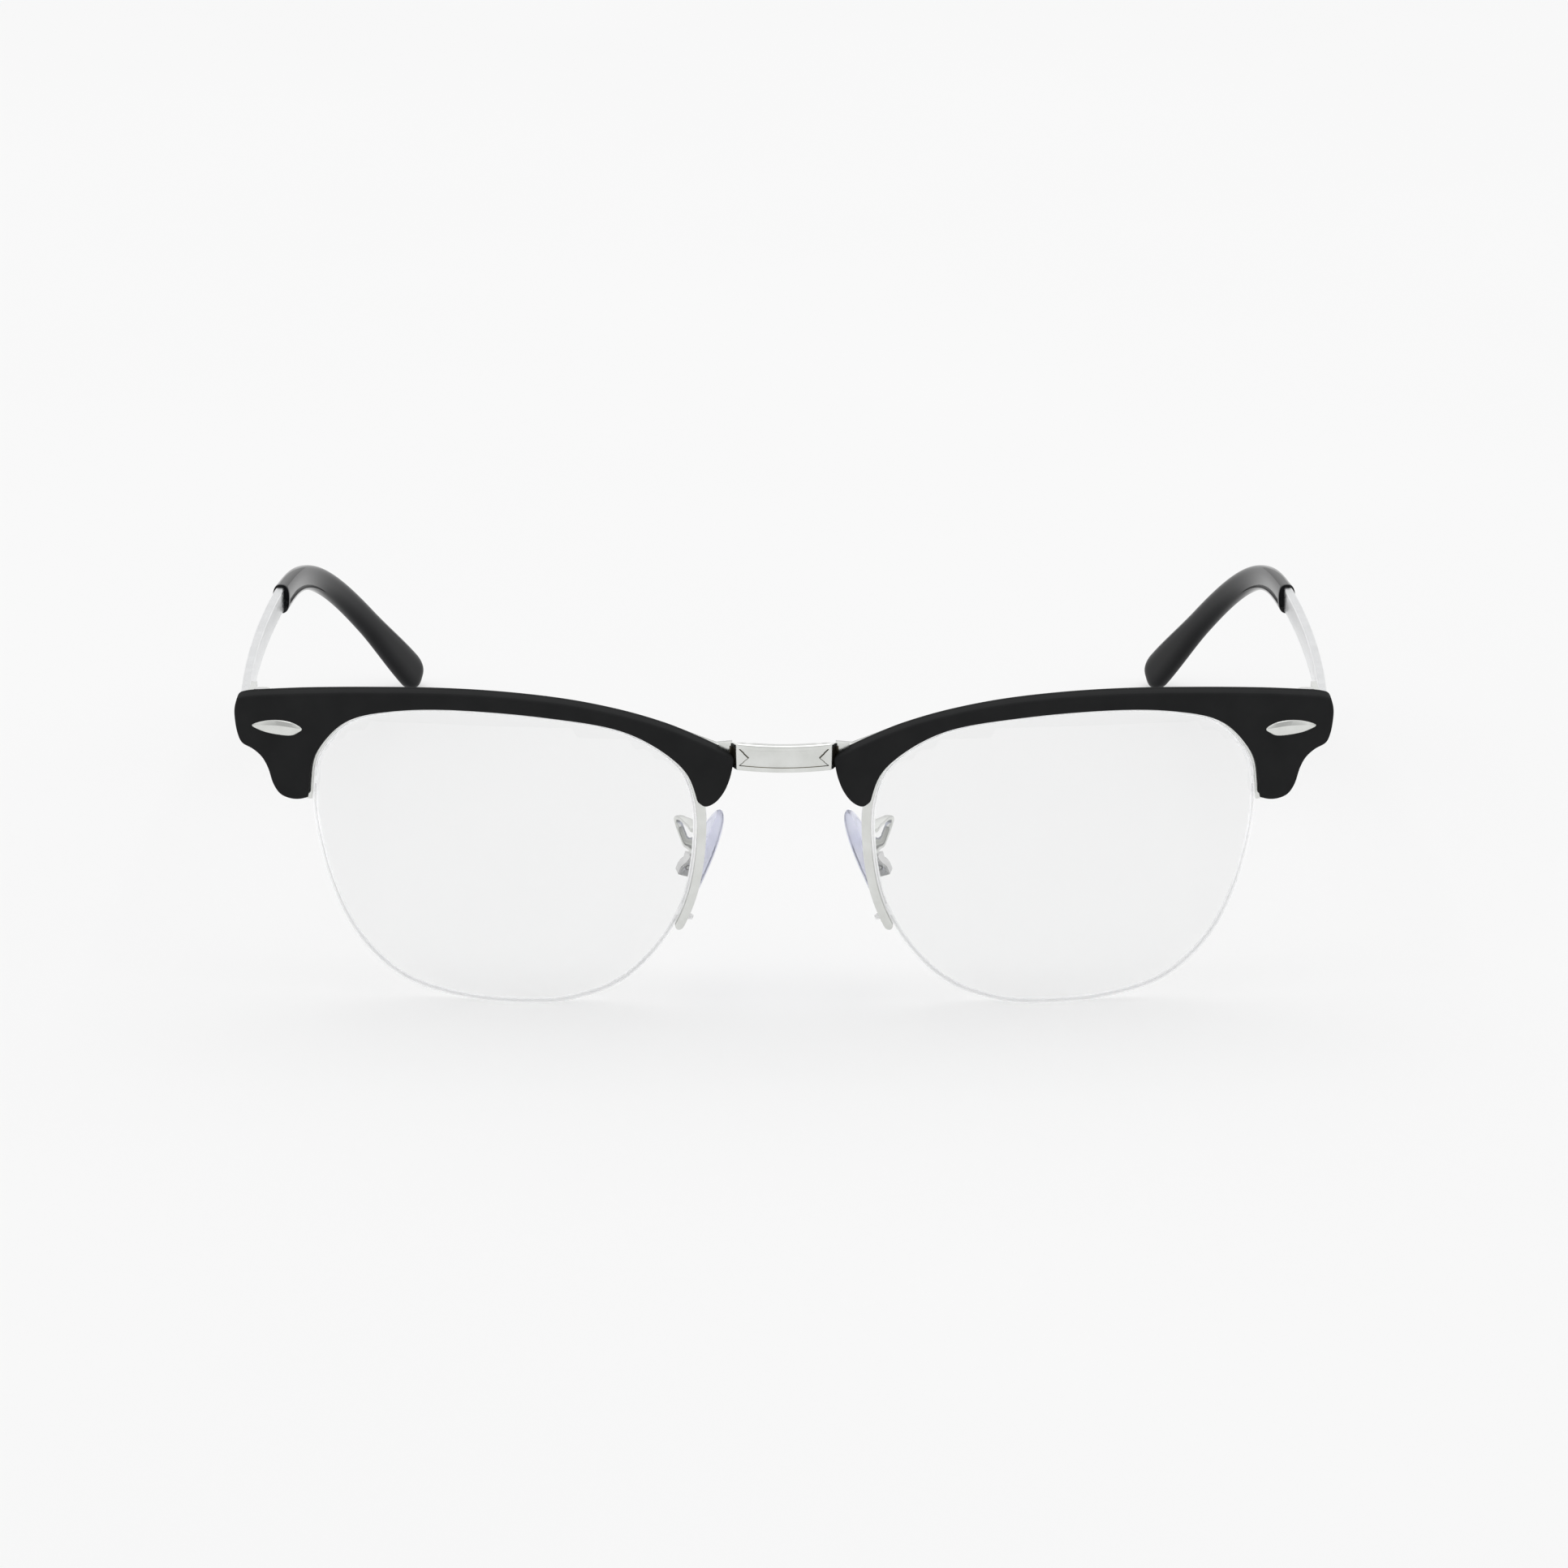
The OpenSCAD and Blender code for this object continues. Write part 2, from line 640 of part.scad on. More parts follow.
// The insert's plate inside the pad, grown on all sides by a clearance
module insert_plate(clear) {
    translate([0, 0, pad_pivot_z]) cube(insert_size + 2 * clear * [1, 1, 1], center = true);
}
module insert_lug(clear) {
    translate([0, -lug_half - clear, pad_pivot_z - lug_r - clear])
        cube([pad_pivot_x, 2 * (lug_half + clear), 2 * (lug_r + clear)]);
}
module pad_insert() {
    color("silver") at_pad() difference() {
        union() {
            insert_plate(0);
            insert_lug(0);
            pad_pivot(lug_r, -lug_half, lug_half);
        }
        pad_pivot(pad_screw_r + 2 * fit, -2, 2);
    }
}
module nose_pad() {
    corner = 0.85;
    outline = [for (a = [0 : 10 : 350])
        [pad_width / 2 * sign(cos(a)) * pow(abs(cos(a)), corner),
         pad_length / 2 * sign(sin(a)) * pow(abs(sin(a)), corner)]];
    face_radius = 40;
    color("aliceblue", 0.5) at_pad() difference() {
        intersection() {
            along_x(pad_rear - pad_thick, pad_rear) polygon(outline);
            translate([face_radius + pad_rear - pad_thick, 0, 0]) sphere(face_radius, $fn = ball_faces);
        }
        insert_plate(fit);
        insert_lug(fit);
    }
}

stand() bridge();
left() rim();  // rim_left
right() rim();  // rim_right
left() rim_liner();  // rim_liner_left
right() rim_liner();  // rim_liner_right
left() lens();  // lens_left
right() lens();  // lens_right
left() nylon_cord();  // nylon_cord_left
right() nylon_cord();  // nylon_cord_right
left() brow();  // brow_left
right() brow();  // brow_right
left() brow_rivet();  // brow_rivet_left
right() brow_rivet();  // brow_rivet_right
left() brow_screw();  // brow_screw_left
right() brow_screw();  // brow_screw_right
left() endpiece();  // endpiece_left
right() endpiece();  // endpiece_right
left() hinge_front();  // hinge_front_left
right() hinge_front();  // hinge_front_right
left() hinge_screw();  // hinge_screw_left
right() hinge_screw();  // hinge_screw_right
left() pad_arm();  // pad_arm_left
right() pad_arm();  // pad_arm_right
left() pad_box();  // pad_box_left
right() pad_box();  // pad_box_right
left() pad_screw();  // pad_screw_left
right() pad_screw();  // pad_screw_right
left() pad_insert();  // pad_insert_left
right() pad_insert();  // pad_insert_right
left() nose_pad();  // nose_pad_left
right() nose_pad();  // nose_pad_right
left() temple();  // temple_left
right() temple();  // temple_right
left() hinge_leaf();  // hinge_leaf_left
right() hinge_leaf();  // hinge_leaf_right
left() temple_tip();  // temple_tip_left
right() temple_tip();  // temple_tip_right
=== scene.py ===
"""Half rim eyeglasses: the looks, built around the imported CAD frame.

Shapes are worked out in millimetres in the row frame, and become metres as each mesh is made.
The left side (+X) is modelled, and the right side is its mirror image.
"""

import json
import math

import bmesh
import bpy
import numpy as np
from mathutils import Matrix, Vector, geometry


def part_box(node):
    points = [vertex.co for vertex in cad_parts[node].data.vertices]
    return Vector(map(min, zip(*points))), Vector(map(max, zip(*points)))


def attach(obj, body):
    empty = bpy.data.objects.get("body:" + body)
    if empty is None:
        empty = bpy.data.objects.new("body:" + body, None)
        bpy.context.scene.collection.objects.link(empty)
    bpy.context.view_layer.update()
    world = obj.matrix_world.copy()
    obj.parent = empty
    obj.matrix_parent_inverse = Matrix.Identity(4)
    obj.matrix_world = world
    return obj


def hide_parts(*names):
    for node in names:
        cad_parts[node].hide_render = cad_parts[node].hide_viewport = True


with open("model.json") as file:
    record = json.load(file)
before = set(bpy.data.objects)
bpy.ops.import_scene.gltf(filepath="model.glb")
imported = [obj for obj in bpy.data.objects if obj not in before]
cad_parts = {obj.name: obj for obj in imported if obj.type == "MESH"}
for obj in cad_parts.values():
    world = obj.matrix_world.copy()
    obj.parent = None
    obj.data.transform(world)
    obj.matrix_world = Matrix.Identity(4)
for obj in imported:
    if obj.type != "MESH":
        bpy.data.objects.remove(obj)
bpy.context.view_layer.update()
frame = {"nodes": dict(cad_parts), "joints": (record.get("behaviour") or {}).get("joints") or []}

MM = 0.001


# ---- places taken from the frame, in millimetres ----
def low_corner(node):
    """The corner of a CAD node's box that is lowest in x, y and z."""
    low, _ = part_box(node)
    return np.array(low) / MM


def joint_place(name):
    """Where a joint turns."""
    joint = next(j for j in frame["joints"] if j["name"] == name)
    return np.array(joint["pos_m"]) / MM


LENS_LOW = low_corner("lens_left")
HINGE = joint_place("temple_fold_left")
PAD_SCREW = joint_place("pad_rock_left")

LENS_REACH = 24.84  # from a lens's centre to its edge at the nose
LENS_DROP = 20.0  # from a lens's centre to its lowest point

FRONT_Y = LENS_LOW[1]  # the plane that the lenses' front surfaces touch
LENS_X = LENS_LOW[0] + LENS_REACH
LENS_Z = LENS_LOW[2] + LENS_DROP
APEX_X = LENS_X - 10.0  # the lens's front surface is furthest forward here
BASE_RADIUS = 132.0  # of the lens's front surface
LENS_THICK = 2.0

# ---- the metal front and what it holds: outward from the lens's edge, and back from its face ----
RIM_IN = 0.03
RIM_OUT = 1.2
RIM_FRONT = -0.2
RIM_BACK = 2.2
RIM_CORNER = 0.16
CHANNEL_FLOOR = 0.6  # how far out the channel for the liner reaches
CHANNEL_FRONT = 0.5
CHANNEL_BACK = 1.5
GROOVE = 0.5  # how deep the groove in the lens's edge is
CORD_RADIUS = 0.24
CORD_PLACE = -0.2  # the cord's middle, sunk in the groove
BROW_OVERHANG = 0.45  # a brow bar's lower edge, over the half rim
BROW_FRONT = -2.0
BROW_BACK = 0.8
BROW_STEP = -0.24  # a brow bar steps forward here, to sit over the half rim
RIVET_REST = BROW_FRONT - 0.14  # the level that a rivet stands on
PLATE_FRONT = 0.85

# ---- the bridge bar, out from the middle and back from FRONT_Y ----
BRIDGE_RISE = 14.3  # its axis, above the lens's centre
BRIDGE_HALF_TALL = 1.8
BRIDGE_THICK = 1.9
BRIDGE_TAIL_THICK = 0.9  # where it has turned back behind a brow bar
BRIDGE_BOW = 1.2
BRIDGE_END_Y = 0.3
BRIDGE_BAR_END = 6.3
BRIDGE_FACE_END = 5.9
BRIDGE_TAIL = [(6.35, 0.25), (6.6, 0.85), (7.0, 1.15), (8.4, 1.2)]  # back from BRIDGE_END_Y
BAND_HALF_TALL = 1.12
BAND_SINK = 0.15
BAND_HOLLOW = 0.06  # how much deeper its middle is
FACET_START = 4.6  # the triangular facets' points, from the middle
FACET_END = 5.75
FACET_SINK = 0.02
SHOULDER_Y = 0.6  # behind this, the bar's top falls towards the back
SHOULDER_FALL = math.tan(math.radians(19))

# ---- nose pads, in their own frame: outward from the insert's middle, and up along the pad ----
PAD_PIVOT_OUT = 1.45
PAD_PIVOT_UP = -0.5
PAD_MIDDLE_OUT = -0.25
PAD_SPLAY = math.radians(10)
PAD_TILT = math.radians(24)
PAD_WIDE = 7.5
PAD_TALL = 15.4
PAD_HALF_THICK = 0.95
PAD_ARM_WIDE = 1.0
PAD_ARM_THICK = 0.62

# ---- temples ----
TEMPLE_X = HINGE[0] + 2.15
TEMPLE_Z = HINGE[2] - 0.4
TEMPLE_LENGTH = 91.0  # from the hinge pin to the bend's nominal start
TEMPLE_SLOPE = math.radians(6)
BOW_OUT = math.radians(3.9)  # how far outward it heads at the hinge pin
BOW_TURN = math.radians(7.4)  # how far it turns inward along its length
TEMPLE_START = -1.2  # the metal's front end, from the hinge pin
TEMPLE_TALL = 3.6
TEMPLE_END_TALL = 3.3
TEMPLE_THICK = 1.2
TEMPLE_CORNER = 0.28

# ---- tips ----
BEND_RADIUS = 32.0
BEND_ANGLE = math.radians(52)
BEND_ARC = BEND_RADIUS * BEND_ANGLE
BEND_ROLL = math.radians(31)  # how far the bend leans in, towards the head
BEND_EASE = 13.5  # the bend starts this gently, before and after its nominal start
END_EASE = 7.0  # and ends this gently
TIP_END = 16.9  # from the end of the bend to the end of the paddle
TIP_TALL = 4.1
TIP_THICK = 2.5
TIP_WAIST = 0.45  # how much less tall it is in the middle of its bend
TIP_POWER = 2.5  # how square its oval section is
SLEEVE_LAP = 16.7  # from the mouth to the bend's nominal start
SLEEVE_POWER = 2.6  # how square the section is at the mouth
MOUTH_SLANT = 0.5
CORE_ASIDE = 0.3  # the metal lies this much nearer to the mouth's outer side
CORE_FIT = 0.12
CORE_INSIDE = 2.0  # how far the modelled metal goes into the mouth
PADDLE_TALL = 5.5
PADDLE_THICK = 2.4
PADDLE_POWER = 3.0

# ---- outlines about the lens centre, nose side at -X ----
LENS_POINTS = [
    (-24.8, 3.0), (-23.6, -4.6), (-20.5, -11.0), (-15.2, -16.6), (-8.6, -19.4),
    (-2.2, -20.0), (6.0, -19.35), (13.6, -16.9), (19.3, -11.4), (22.7, -4.2),
    (24.6, 4.0), (24.7, 9.8), (23.7, 13.6), (20.0, 17.7), (14.2, 19.4),
    (6.0, 19.95), (-5.0, 19.3), (-15.2, 17.5), (-22.0, 13.4), (-24.35, 9.0),
]
BROW_POINTS = [
    (-24.1, 9.6), (-25.0, 8.5), (-26.0, 7.85), (-27.3, 8.4), (-28.4, 9.75),
    (-29.1, 11.4), (-29.45, 12.9), (-29.6, 13.9), (-29.1, 14.4), (-27.5, 15.2),
    (-25.0, 16.45), (-20.8, 18.3), (-15.0, 20.1), (-8.0, 21.5), (0.0, 22.3),
    (8.3, 22.5), (17.0, 22.15), (25.0, 21.5), (31.5, 20.65), (33.7, 20.2),
    (34.5, 19.7), (34.85, 18.5), (34.8, 17.0), (34.5, 15.4), (33.9, 14.2),
    (32.5, 13.55), (31.3, 12.6), (30.5, 11.2), (29.9, 9.3), (29.0, 8.0),
    (27.7, 7.5), (26.3, 7.55), (24.8, 8.1),
]
RIVET_POINTS = [
    (3.3, -0.1), (1.9, 0.62), (0.0, 0.95), (-1.7, 0.85), (-2.7, 0.5),
    (-3.3, 0.0), (-2.5, -0.6), (-1.6, -0.9), (0.2, -0.88), (1.9, -0.65),
]
RIVET_CENTRE = (29.2, 16.85)
PLATE_POINTS = [
    (-29.4, 12.5), (-29.4, 15.2), (-27.3, 15.1), (-21.8, 17.4), (-20, 15), (-23.5, 11), (-27, 11.6)
]
# Places along the lens outline, counted in LENS_POINTS from the nose side
NASAL_END = 1.6
NASAL_HOLE = 1.42
TEMPLE_HOLE = 10.85
TEMPLE_END = 10.5


# ---- curves ----
def catmull(a, b, c, d, t):
    """A point of the Catmull-Rom curve between b and c."""
    return 0.5 * (
        2 * b + (c - a) * t + (2 * a - 5 * b + 4 * c - d) * t**2 + (3 * b - a - 3 * c + d) * t**3
    )


def loop_at(points, place):
    """A point of the smooth closed curve through points, at a place counted in points."""
    p = np.array(points, float)
    i = math.floor(place)
    a, b, c, d = (p[(i + k) % len(p)] for k in (-1, 0, 1, 2))
    return catmull(a, b, c, d, place - i)


def smooth_loop(points, steps):
    """The smooth closed curve through points."""
    return np.array([loop_at(points, k / steps) for k in range(len(points) * steps)])


def smooth_path(points, steps):
    """The smooth open curve through points."""
    p = np.array(points, float)
    last = len(p) - 1
    spots = [
        catmull(p[max(i - 1, 0)], p[i], p[i + 1], p[min(i + 2, last)], s / steps)
        for i in range(last)
        for s in range(steps)
    ]
    return np.array(spots + [p[last]])


def even(points, spacing):
    """The open line through points, with its points at an even spacing."""
    steps = np.linalg.norm(np.diff(points, axis=0), axis=1)
    run = np.concatenate([[0], np.cumsum(steps)])
    count = max(2, round(run[-1] / spacing) + 1)
    at = np.linspace(0, run[-1], count)
    return np.stack([np.interp(at, run, points[:, k]) for k in range(points.shape[1])], axis=1)


def normals_2d(loop):
    """Unit normals of a closed loop that runs counterclockwise, pointing outward."""
    along = np.roll(loop, -1, axis=0) - np.roll(loop, 1, axis=0)
    along /= np.linalg.norm(along, axis=1)[:, None]
    return np.stack([along[:, 1], -along[:, 0]], axis=1)


def grown(loop, distance):
    """The loop moved outward by a distance."""
    return loop + distance * normals_2d(loop)


def inside(points, loop):
    """For each point, whether the closed loop goes round it."""
    x, z = points[:, 0][:, None], points[:, 1][:, None]
    a, b = loop, np.roll(loop, -1, axis=0)
    spans = (a[:, 1] > z) != (b[:, 1] > z)
    rise = np.where(b[:, 1] == a[:, 1], 1.0, b[:, 1] - a[:, 1])
    crossing = a[:, 0] + (z - a[:, 1]) / rise * (b[:, 0] - a[:, 0])
    return (np.sum(spans & (x < crossing), axis=1) % 2) == 1


def distance_to(points, loop):
    """For each point, its distance to the nearest of the loop's points."""
    gaps = points[:, None, :] - loop[None, :, :]
    return np.sqrt((gaps**2).sum(axis=2)).min(axis=1)


def placed(points):
    """Points about the lens centre, at their real place."""
    return np.array(points, float) + [LENS_X, LENS_Z]


LENS_LOOP = placed(smooth_loop(LENS_POINTS, 24))


def beside_lens(place, distance):
    """A point beside the lens's edge, outward from it by a distance."""
    here = loop_at(LENS_POINTS, place)
    along = loop_at(LENS_POINTS, place + 0.05) - loop_at(LENS_POINTS, place - 0.05)
    along /= np.linalg.norm(along)
    return placed([here])[0] + distance * np.array([along[1], -along[0]])


def layer_y(spots, back):
    """Where the curved layer that lies back behind the lens surface is, at (x, z) spots."""
    spots = np.asarray(spots, float)
    aside = (spots[..., 0] - APEX_X) ** 2 + (spots[..., 1] - LENS_Z) ** 2
    return FRONT_Y + BASE_RADIUS - np.sqrt((BASE_RADIUS - back) ** 2 - aside)


def on_layer(spots, back):
    """(x, z) spots as points of that layer."""
    spots = np.asarray(spots, float)
    y = layer_y(spots, back)
    return np.stack([spots[..., 0], y, spots[..., 1]], axis=-1)


def leaned(points):
    """Points of the lens or its cord, moved so that the lens's edge stands square to its surface."""
    points = np.array(points, float)
    centre = np.array([APEX_X, FRONT_Y + BASE_RADIUS, LENS_Z])
    back = BASE_RADIUS - np.linalg.norm(points - centre, axis=1)
    spots = points[:, [0, 2]] + (back / BASE_RADIUS)[:, None] * (centre - points)[:, [0, 2]]
    return on_layer(spots, back)


# ---- meshes ----
SHARP = math.radians(38)  # edges that turn more than this stay sharp


def skin(rings, cap_start=True, cap_end=True):
    """Vertices and faces of the surface through rings of equally many points."""
    count = len(rings[0])
    verts = [tuple(p) for ring in rings for p in ring]
    faces = []
    for r in range(len(rings) - 1):
        for k in range(count):
            n = (k + 1) % count
            faces.append((r * count + k, r * count + n, (r + 1) * count + n, (r + 1) * count + k))
    if cap_start:
        faces.append(tuple(range(count))[::-1])
    if cap_end:
        faces.append(tuple(range((len(rings) - 1) * count, len(rings) * count)))
    return verts, faces


def joined(*parts):
    """Several (vertices, faces) as one."""
    verts, faces = [], []
    for part_verts, part_faces in parts:
        start = len(verts)
        verts += list(part_verts)
        faces += [tuple(start + i for i in face) for face in part_faces]
    return verts, faces


def filled(loop, spacing, lift):
    """The area inside an (x, z) loop as small triangles, at the height lift(spots) in Y."""
    low, high = loop.min(axis=0), loop.max(axis=0)
    xs = np.arange(low[0] + spacing / 2, high[0], spacing)
    zs = np.arange(low[1] + spacing / 2, high[1], spacing)
    grid = np.array([(x + (row % 2) * spacing / 2, z) for row, z in enumerate(zs) for x in xs])
    grid = grid[inside(grid, loop)]
    grid = grid[distance_to(grid, loop) > spacing * 0.45]
    spots = [Vector(p) for p in np.concatenate([loop, grid])]
    result = geometry.delaunay_2d_cdt(spots, [], [list(range(len(loop)))], 1, 1e-7)
    flat = np.array([tuple(v) for v in result[0]])
    y = lift(flat)
    verts = [(p[0], y[i], p[1]) for i, p in enumerate(flat)]
    return verts, [tuple(face) for face in result[2]]


def plate(loop, profile, spacing, crown=0.0):
    """A solid that follows the lens surface, inside a counterclockwise (x, z) loop.

    profile holds (outward, back) pairs for its edge, from the front face round to the rear one.
    crown makes the front face swell forward by that much, away from its edge.
    """
    crown_width = 1.6
    rings = [grown(loop, outward) for outward, _ in profile]
    walls = skin([on_layer(r, back) for r, (_, back) in zip(rings, profile)], False, False)

    def front(spots):
        swell = crown * (1 - np.exp(-((distance_to(spots, rings[0]) / crown_width) ** 2)))
        return layer_y(spots, profile[0][1]) - swell

    def rear(spots):
        return layer_y(spots, profile[-1][1])

    front_face = filled(rings[0], spacing, front)
    rear_face = filled(rings[-1], spacing, rear)
    return joined(walls, front_face, rear_face)


def rounded_edge(radius, front, back, steps, rear_radius=None):
    """A plate's edge profile, rounded at the front and the rear."""
    rear_radius = radius if rear_radius is None else rear_radius
    turn = [math.pi / 2 * k / steps for k in range(steps + 1)]
    fore = [(-radius * (1 - math.sin(a)), front + radius * (1 - math.cos(a))) for a in turn]
    aft = [(-rear_radius * (1 - math.cos(a)), back - rear_radius * (1 - math.sin(a))) for a in turn]
    return fore + aft


def rounded_rect(width, height, radius):
    """Points of a rectangle with rounded corners, about its middle."""
    steps = 4
    spots = []
    for turn, (sx, sy) in enumerate([(1, 1), (-1, 1), (-1, -1), (1, -1)]):
        centre_x = sx * (width / 2 - radius)
        centre_y = sy * (height / 2 - radius)
        for k in range(steps + 1):
            a = math.pi / 2 * (turn + k / steps)
            spots.append((centre_x + radius * math.cos(a), centre_y + radius * math.sin(a)))
    return np.array(spots)


def oval(width, height, power, count=40):
    """Points of a superellipse about its middle."""
    turns = np.arange(count) * 2 * math.pi / count
    c, s = np.cos(turns), np.sin(turns)
    x = width / 2 * np.sign(c) * np.abs(c) ** (2 / power)
    y = height / 2 * np.sign(s) * np.abs(s) ** (2 / power)
    return np.stack([x, y], axis=1)


def tube_frames(line):
    """A pair of directions across a line at each of its points, which turn as little as they can."""
    along = np.gradient(line, axis=0)
    along /= np.linalg.norm(along, axis=1)[:, None]
    side = np.cross(along[0], [0.0, 0.0, 1.0])
    if np.linalg.norm(side) < 0.1:
        side = np.cross(along[0], [0.0, 1.0, 0.0])
    sides, ups = [], []
    for t in along:
        side = side - t * np.dot(side, t)
        side /= np.linalg.norm(side)
        sides.append(side)
        ups.append(np.cross(side, t))
    return np.array(sides), np.array(ups)


def tube(line, radii):
    """A round tube along a line, with its radius at each point."""
    count = 14
    sides, ups = tube_frames(line)
    turns = np.arange(count) * 2 * math.pi / count
    rings = [
        line[i] + radii[i] * (np.cos(turns)[:, None] * sides[i] + np.sin(turns)[:, None] * ups[i])
        for i in range(len(line))
    ]
    return skin(rings)


def mirrored(shape):
    """A shape's mirror image, on the wearer's right."""
    verts, *rest = shape
    return [(-x, y, z) for x, y, z in verts], *rest


def add_mesh(name, shape, material, sharp=SHARP, second=None):
    """A mesh object from points in millimetres, smooth except along its sharp edges.

    A shape is its vertices and faces, and how many of its first faces take the second material.
    """
    verts, faces, *marked = shape
    mesh = bpy.data.meshes.new(name)
    mesh.from_pydata([(x * MM, y * MM, z * MM) for x, y, z in verts], [], faces)
    mesh.materials.append(material)
    if second:
        mesh.materials.append(second)
        for face in mesh.polygons[: marked[0]]:
            face.material_index = 1
    bm = bmesh.new()
    bm.from_mesh(mesh)
    bmesh.ops.remove_doubles(bm, verts=bm.verts, dist=0.002 * MM)
    bmesh.ops.recalc_face_normals(bm, faces=bm.faces)
    for face in bm.faces:
        face.smooth = True
    for edge in bm.edges:
        edge.smooth = edge.calc_face_angle(0) < sharp
    bm.to_mesh(mesh)
    bm.free()
    piece = bpy.data.objects.new(name, mesh)
    bpy.context.scene.collection.objects.link(piece)
    return piece


def both_sides(name, shape, material, body, sharp=SHARP, second=None):
    """A left piece and its mirror image, each in place of the CAD node of its own side."""
    pieces = []
    for side, sided in (("left", shape), ("right", mirrored(shape))):
        piece = add_mesh(f"{name}_{side}_visual", sided, material, sharp, second)
        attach(piece, body.replace("SIDE", side))
        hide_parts(f"{name}_{side}")
        pieces.append(piece)
    return pieces


# ---- lenses and what holds them ----
def lens_shape():
    """A clear lens, curved to the front, with ground edges that are grooved for the cord."""
    loop = even(np.concatenate([LENS_LOOP, LENS_LOOP[:1]]), 0.5)[:-1]
    edge = [
        (-0.15, 0.0), (-0.06, 0.03), (0.0, 0.12), (0.0, 0.7), (-0.06, 0.76), (-GROOVE, 0.84),
        (-GROOVE, 1.16), (-0.06, 1.24), (0.0, 1.3), (0.0, 1.88), (-0.06, 1.97), (-0.15, LENS_THICK),
    ]
    verts, faces = plate(loop, edge, 1.6)
    return leaned(verts), faces, (len(edge) - 1) * len(loop)


def rim_section():
    """The half rim's section, as (outward, back) pairs: a band with a channel in its inner side."""
    corner = RIM_CORNER
    cut = 0.3 * corner
    flare = 0.02  # the channel's walls lean apart by this much towards its mouth
    outer = [
        (RIM_OUT - corner, RIM_FRONT), (RIM_OUT - cut, RIM_FRONT + cut), (RIM_OUT, RIM_FRONT + corner),
        (RIM_OUT, RIM_BACK - corner), (RIM_OUT - cut, RIM_BACK - cut), (RIM_OUT - corner, RIM_BACK),
    ]
    inner = [
        (RIM_IN + corner, RIM_BACK), (RIM_IN + cut, RIM_BACK - cut), (RIM_IN, RIM_BACK - corner),
        (RIM_IN, CHANNEL_BACK), (CHANNEL_FLOOR, CHANNEL_BACK - flare),
        (CHANNEL_FLOOR, CHANNEL_FRONT + flare), (RIM_IN, CHANNEL_FRONT),
        (RIM_IN, RIM_FRONT + corner), (RIM_IN + cut, RIM_FRONT + cut), (RIM_IN + corner, RIM_FRONT),
    ]
    return np.array(outer + inner)


def rim_shape():
    """The half rim: a band over the lens and down its nose side, rounded at its nose end."""
    section = rim_section()
    middle = (RIM_IN + RIM_OUT) / 2
    half = (RIM_OUT - RIM_IN) / 2
    start = len(LENS_POINTS) + NASAL_END
    mm_per_place = 7.0  # along the lens outline near the band's nose end
    end_steps = 8
    rings = []
    for k in range(end_steps):
        a = math.pi / 2 * k / end_steps
        place = start + math.cos(a) * half / mm_per_place
        slim = middle + (section[:, 0] - middle) * max(math.sin(a), 0.05)
        rings.append([on_layer(beside_lens(place, s), b) for s, b in zip(slim, section[:, 1])])
    for place in np.linspace(start, TEMPLE_END, 200):
        rings.append([on_layer(beside_lens(place, s), b) for s, b in section])
    return skin(rings)


def cord_shape():
    """The nylon cord in the lens's groove, with its end drawn through the half rim's nose hole."""
    places = np.linspace(NASAL_HOLE + 0.06, TEMPLE_HOLE, 260)
    run = [on_layer(beside_lens(place, CORD_PLACE), LENS_THICK / 2) for place in places]
    through = (1.95, 1.6, 1.25, 0.8, 0.4, 0.1)  # outward from the lens's edge
    way_out = [on_layer(beside_lens(NASAL_HOLE, d), LENS_THICK / 2) for d in through]
    line = leaned(way_out + run)
    knob = [0.3, 0.42, 0.4]  # its end is spread, so that it can't slip back
    return tube(line, knob + [CORD_RADIUS] * (len(line) - len(knob)))


# ---- brow bars ----
def brow_loop(edge_gap):
    """A brow bar's outline, counterclockwise, with its lower edge that far outside the lens."""
    path = placed(smooth_path(BROW_POINTS, 10))
    lens_edge = grown(LENS_LOOP, edge_gap)
    keep = np.nonzero(~inside(path, lens_edge))[0]
    path = path[keep[0]: keep[-1] + 1]
    first = np.argmin(np.linalg.norm(lens_edge - path[-1], axis=1))
    last = np.argmin(np.linalg.norm(lens_edge - path[0], axis=1))
    count = len(lens_edge)
    way = [(first + k) % count for k in range((last - first) % count + 1)]
    outer = even(path, 0.35)
    inner = even(lens_edge[way], 0.35)
    return np.concatenate([outer, inner[1:-1]])[::-1]


def brow_shape():
    """A bar of acetate over the half rim, stepped behind so that the rim lies under its lower edge."""
    face_edge = rounded_edge(0.32, BROW_FRONT, BROW_STEP, 5, 0.02)
    face = plate(brow_loop(BROW_OVERHANG), face_edge, 0.7, 0.22)
    backing_edge = rounded_edge(0.15, BROW_STEP - 0.05, BROW_BACK, 2)
    backing = plate(grown(brow_loop(RIM_OUT + 0.05), -0.02), backing_edge, 0.9)
    return joined(face, backing)


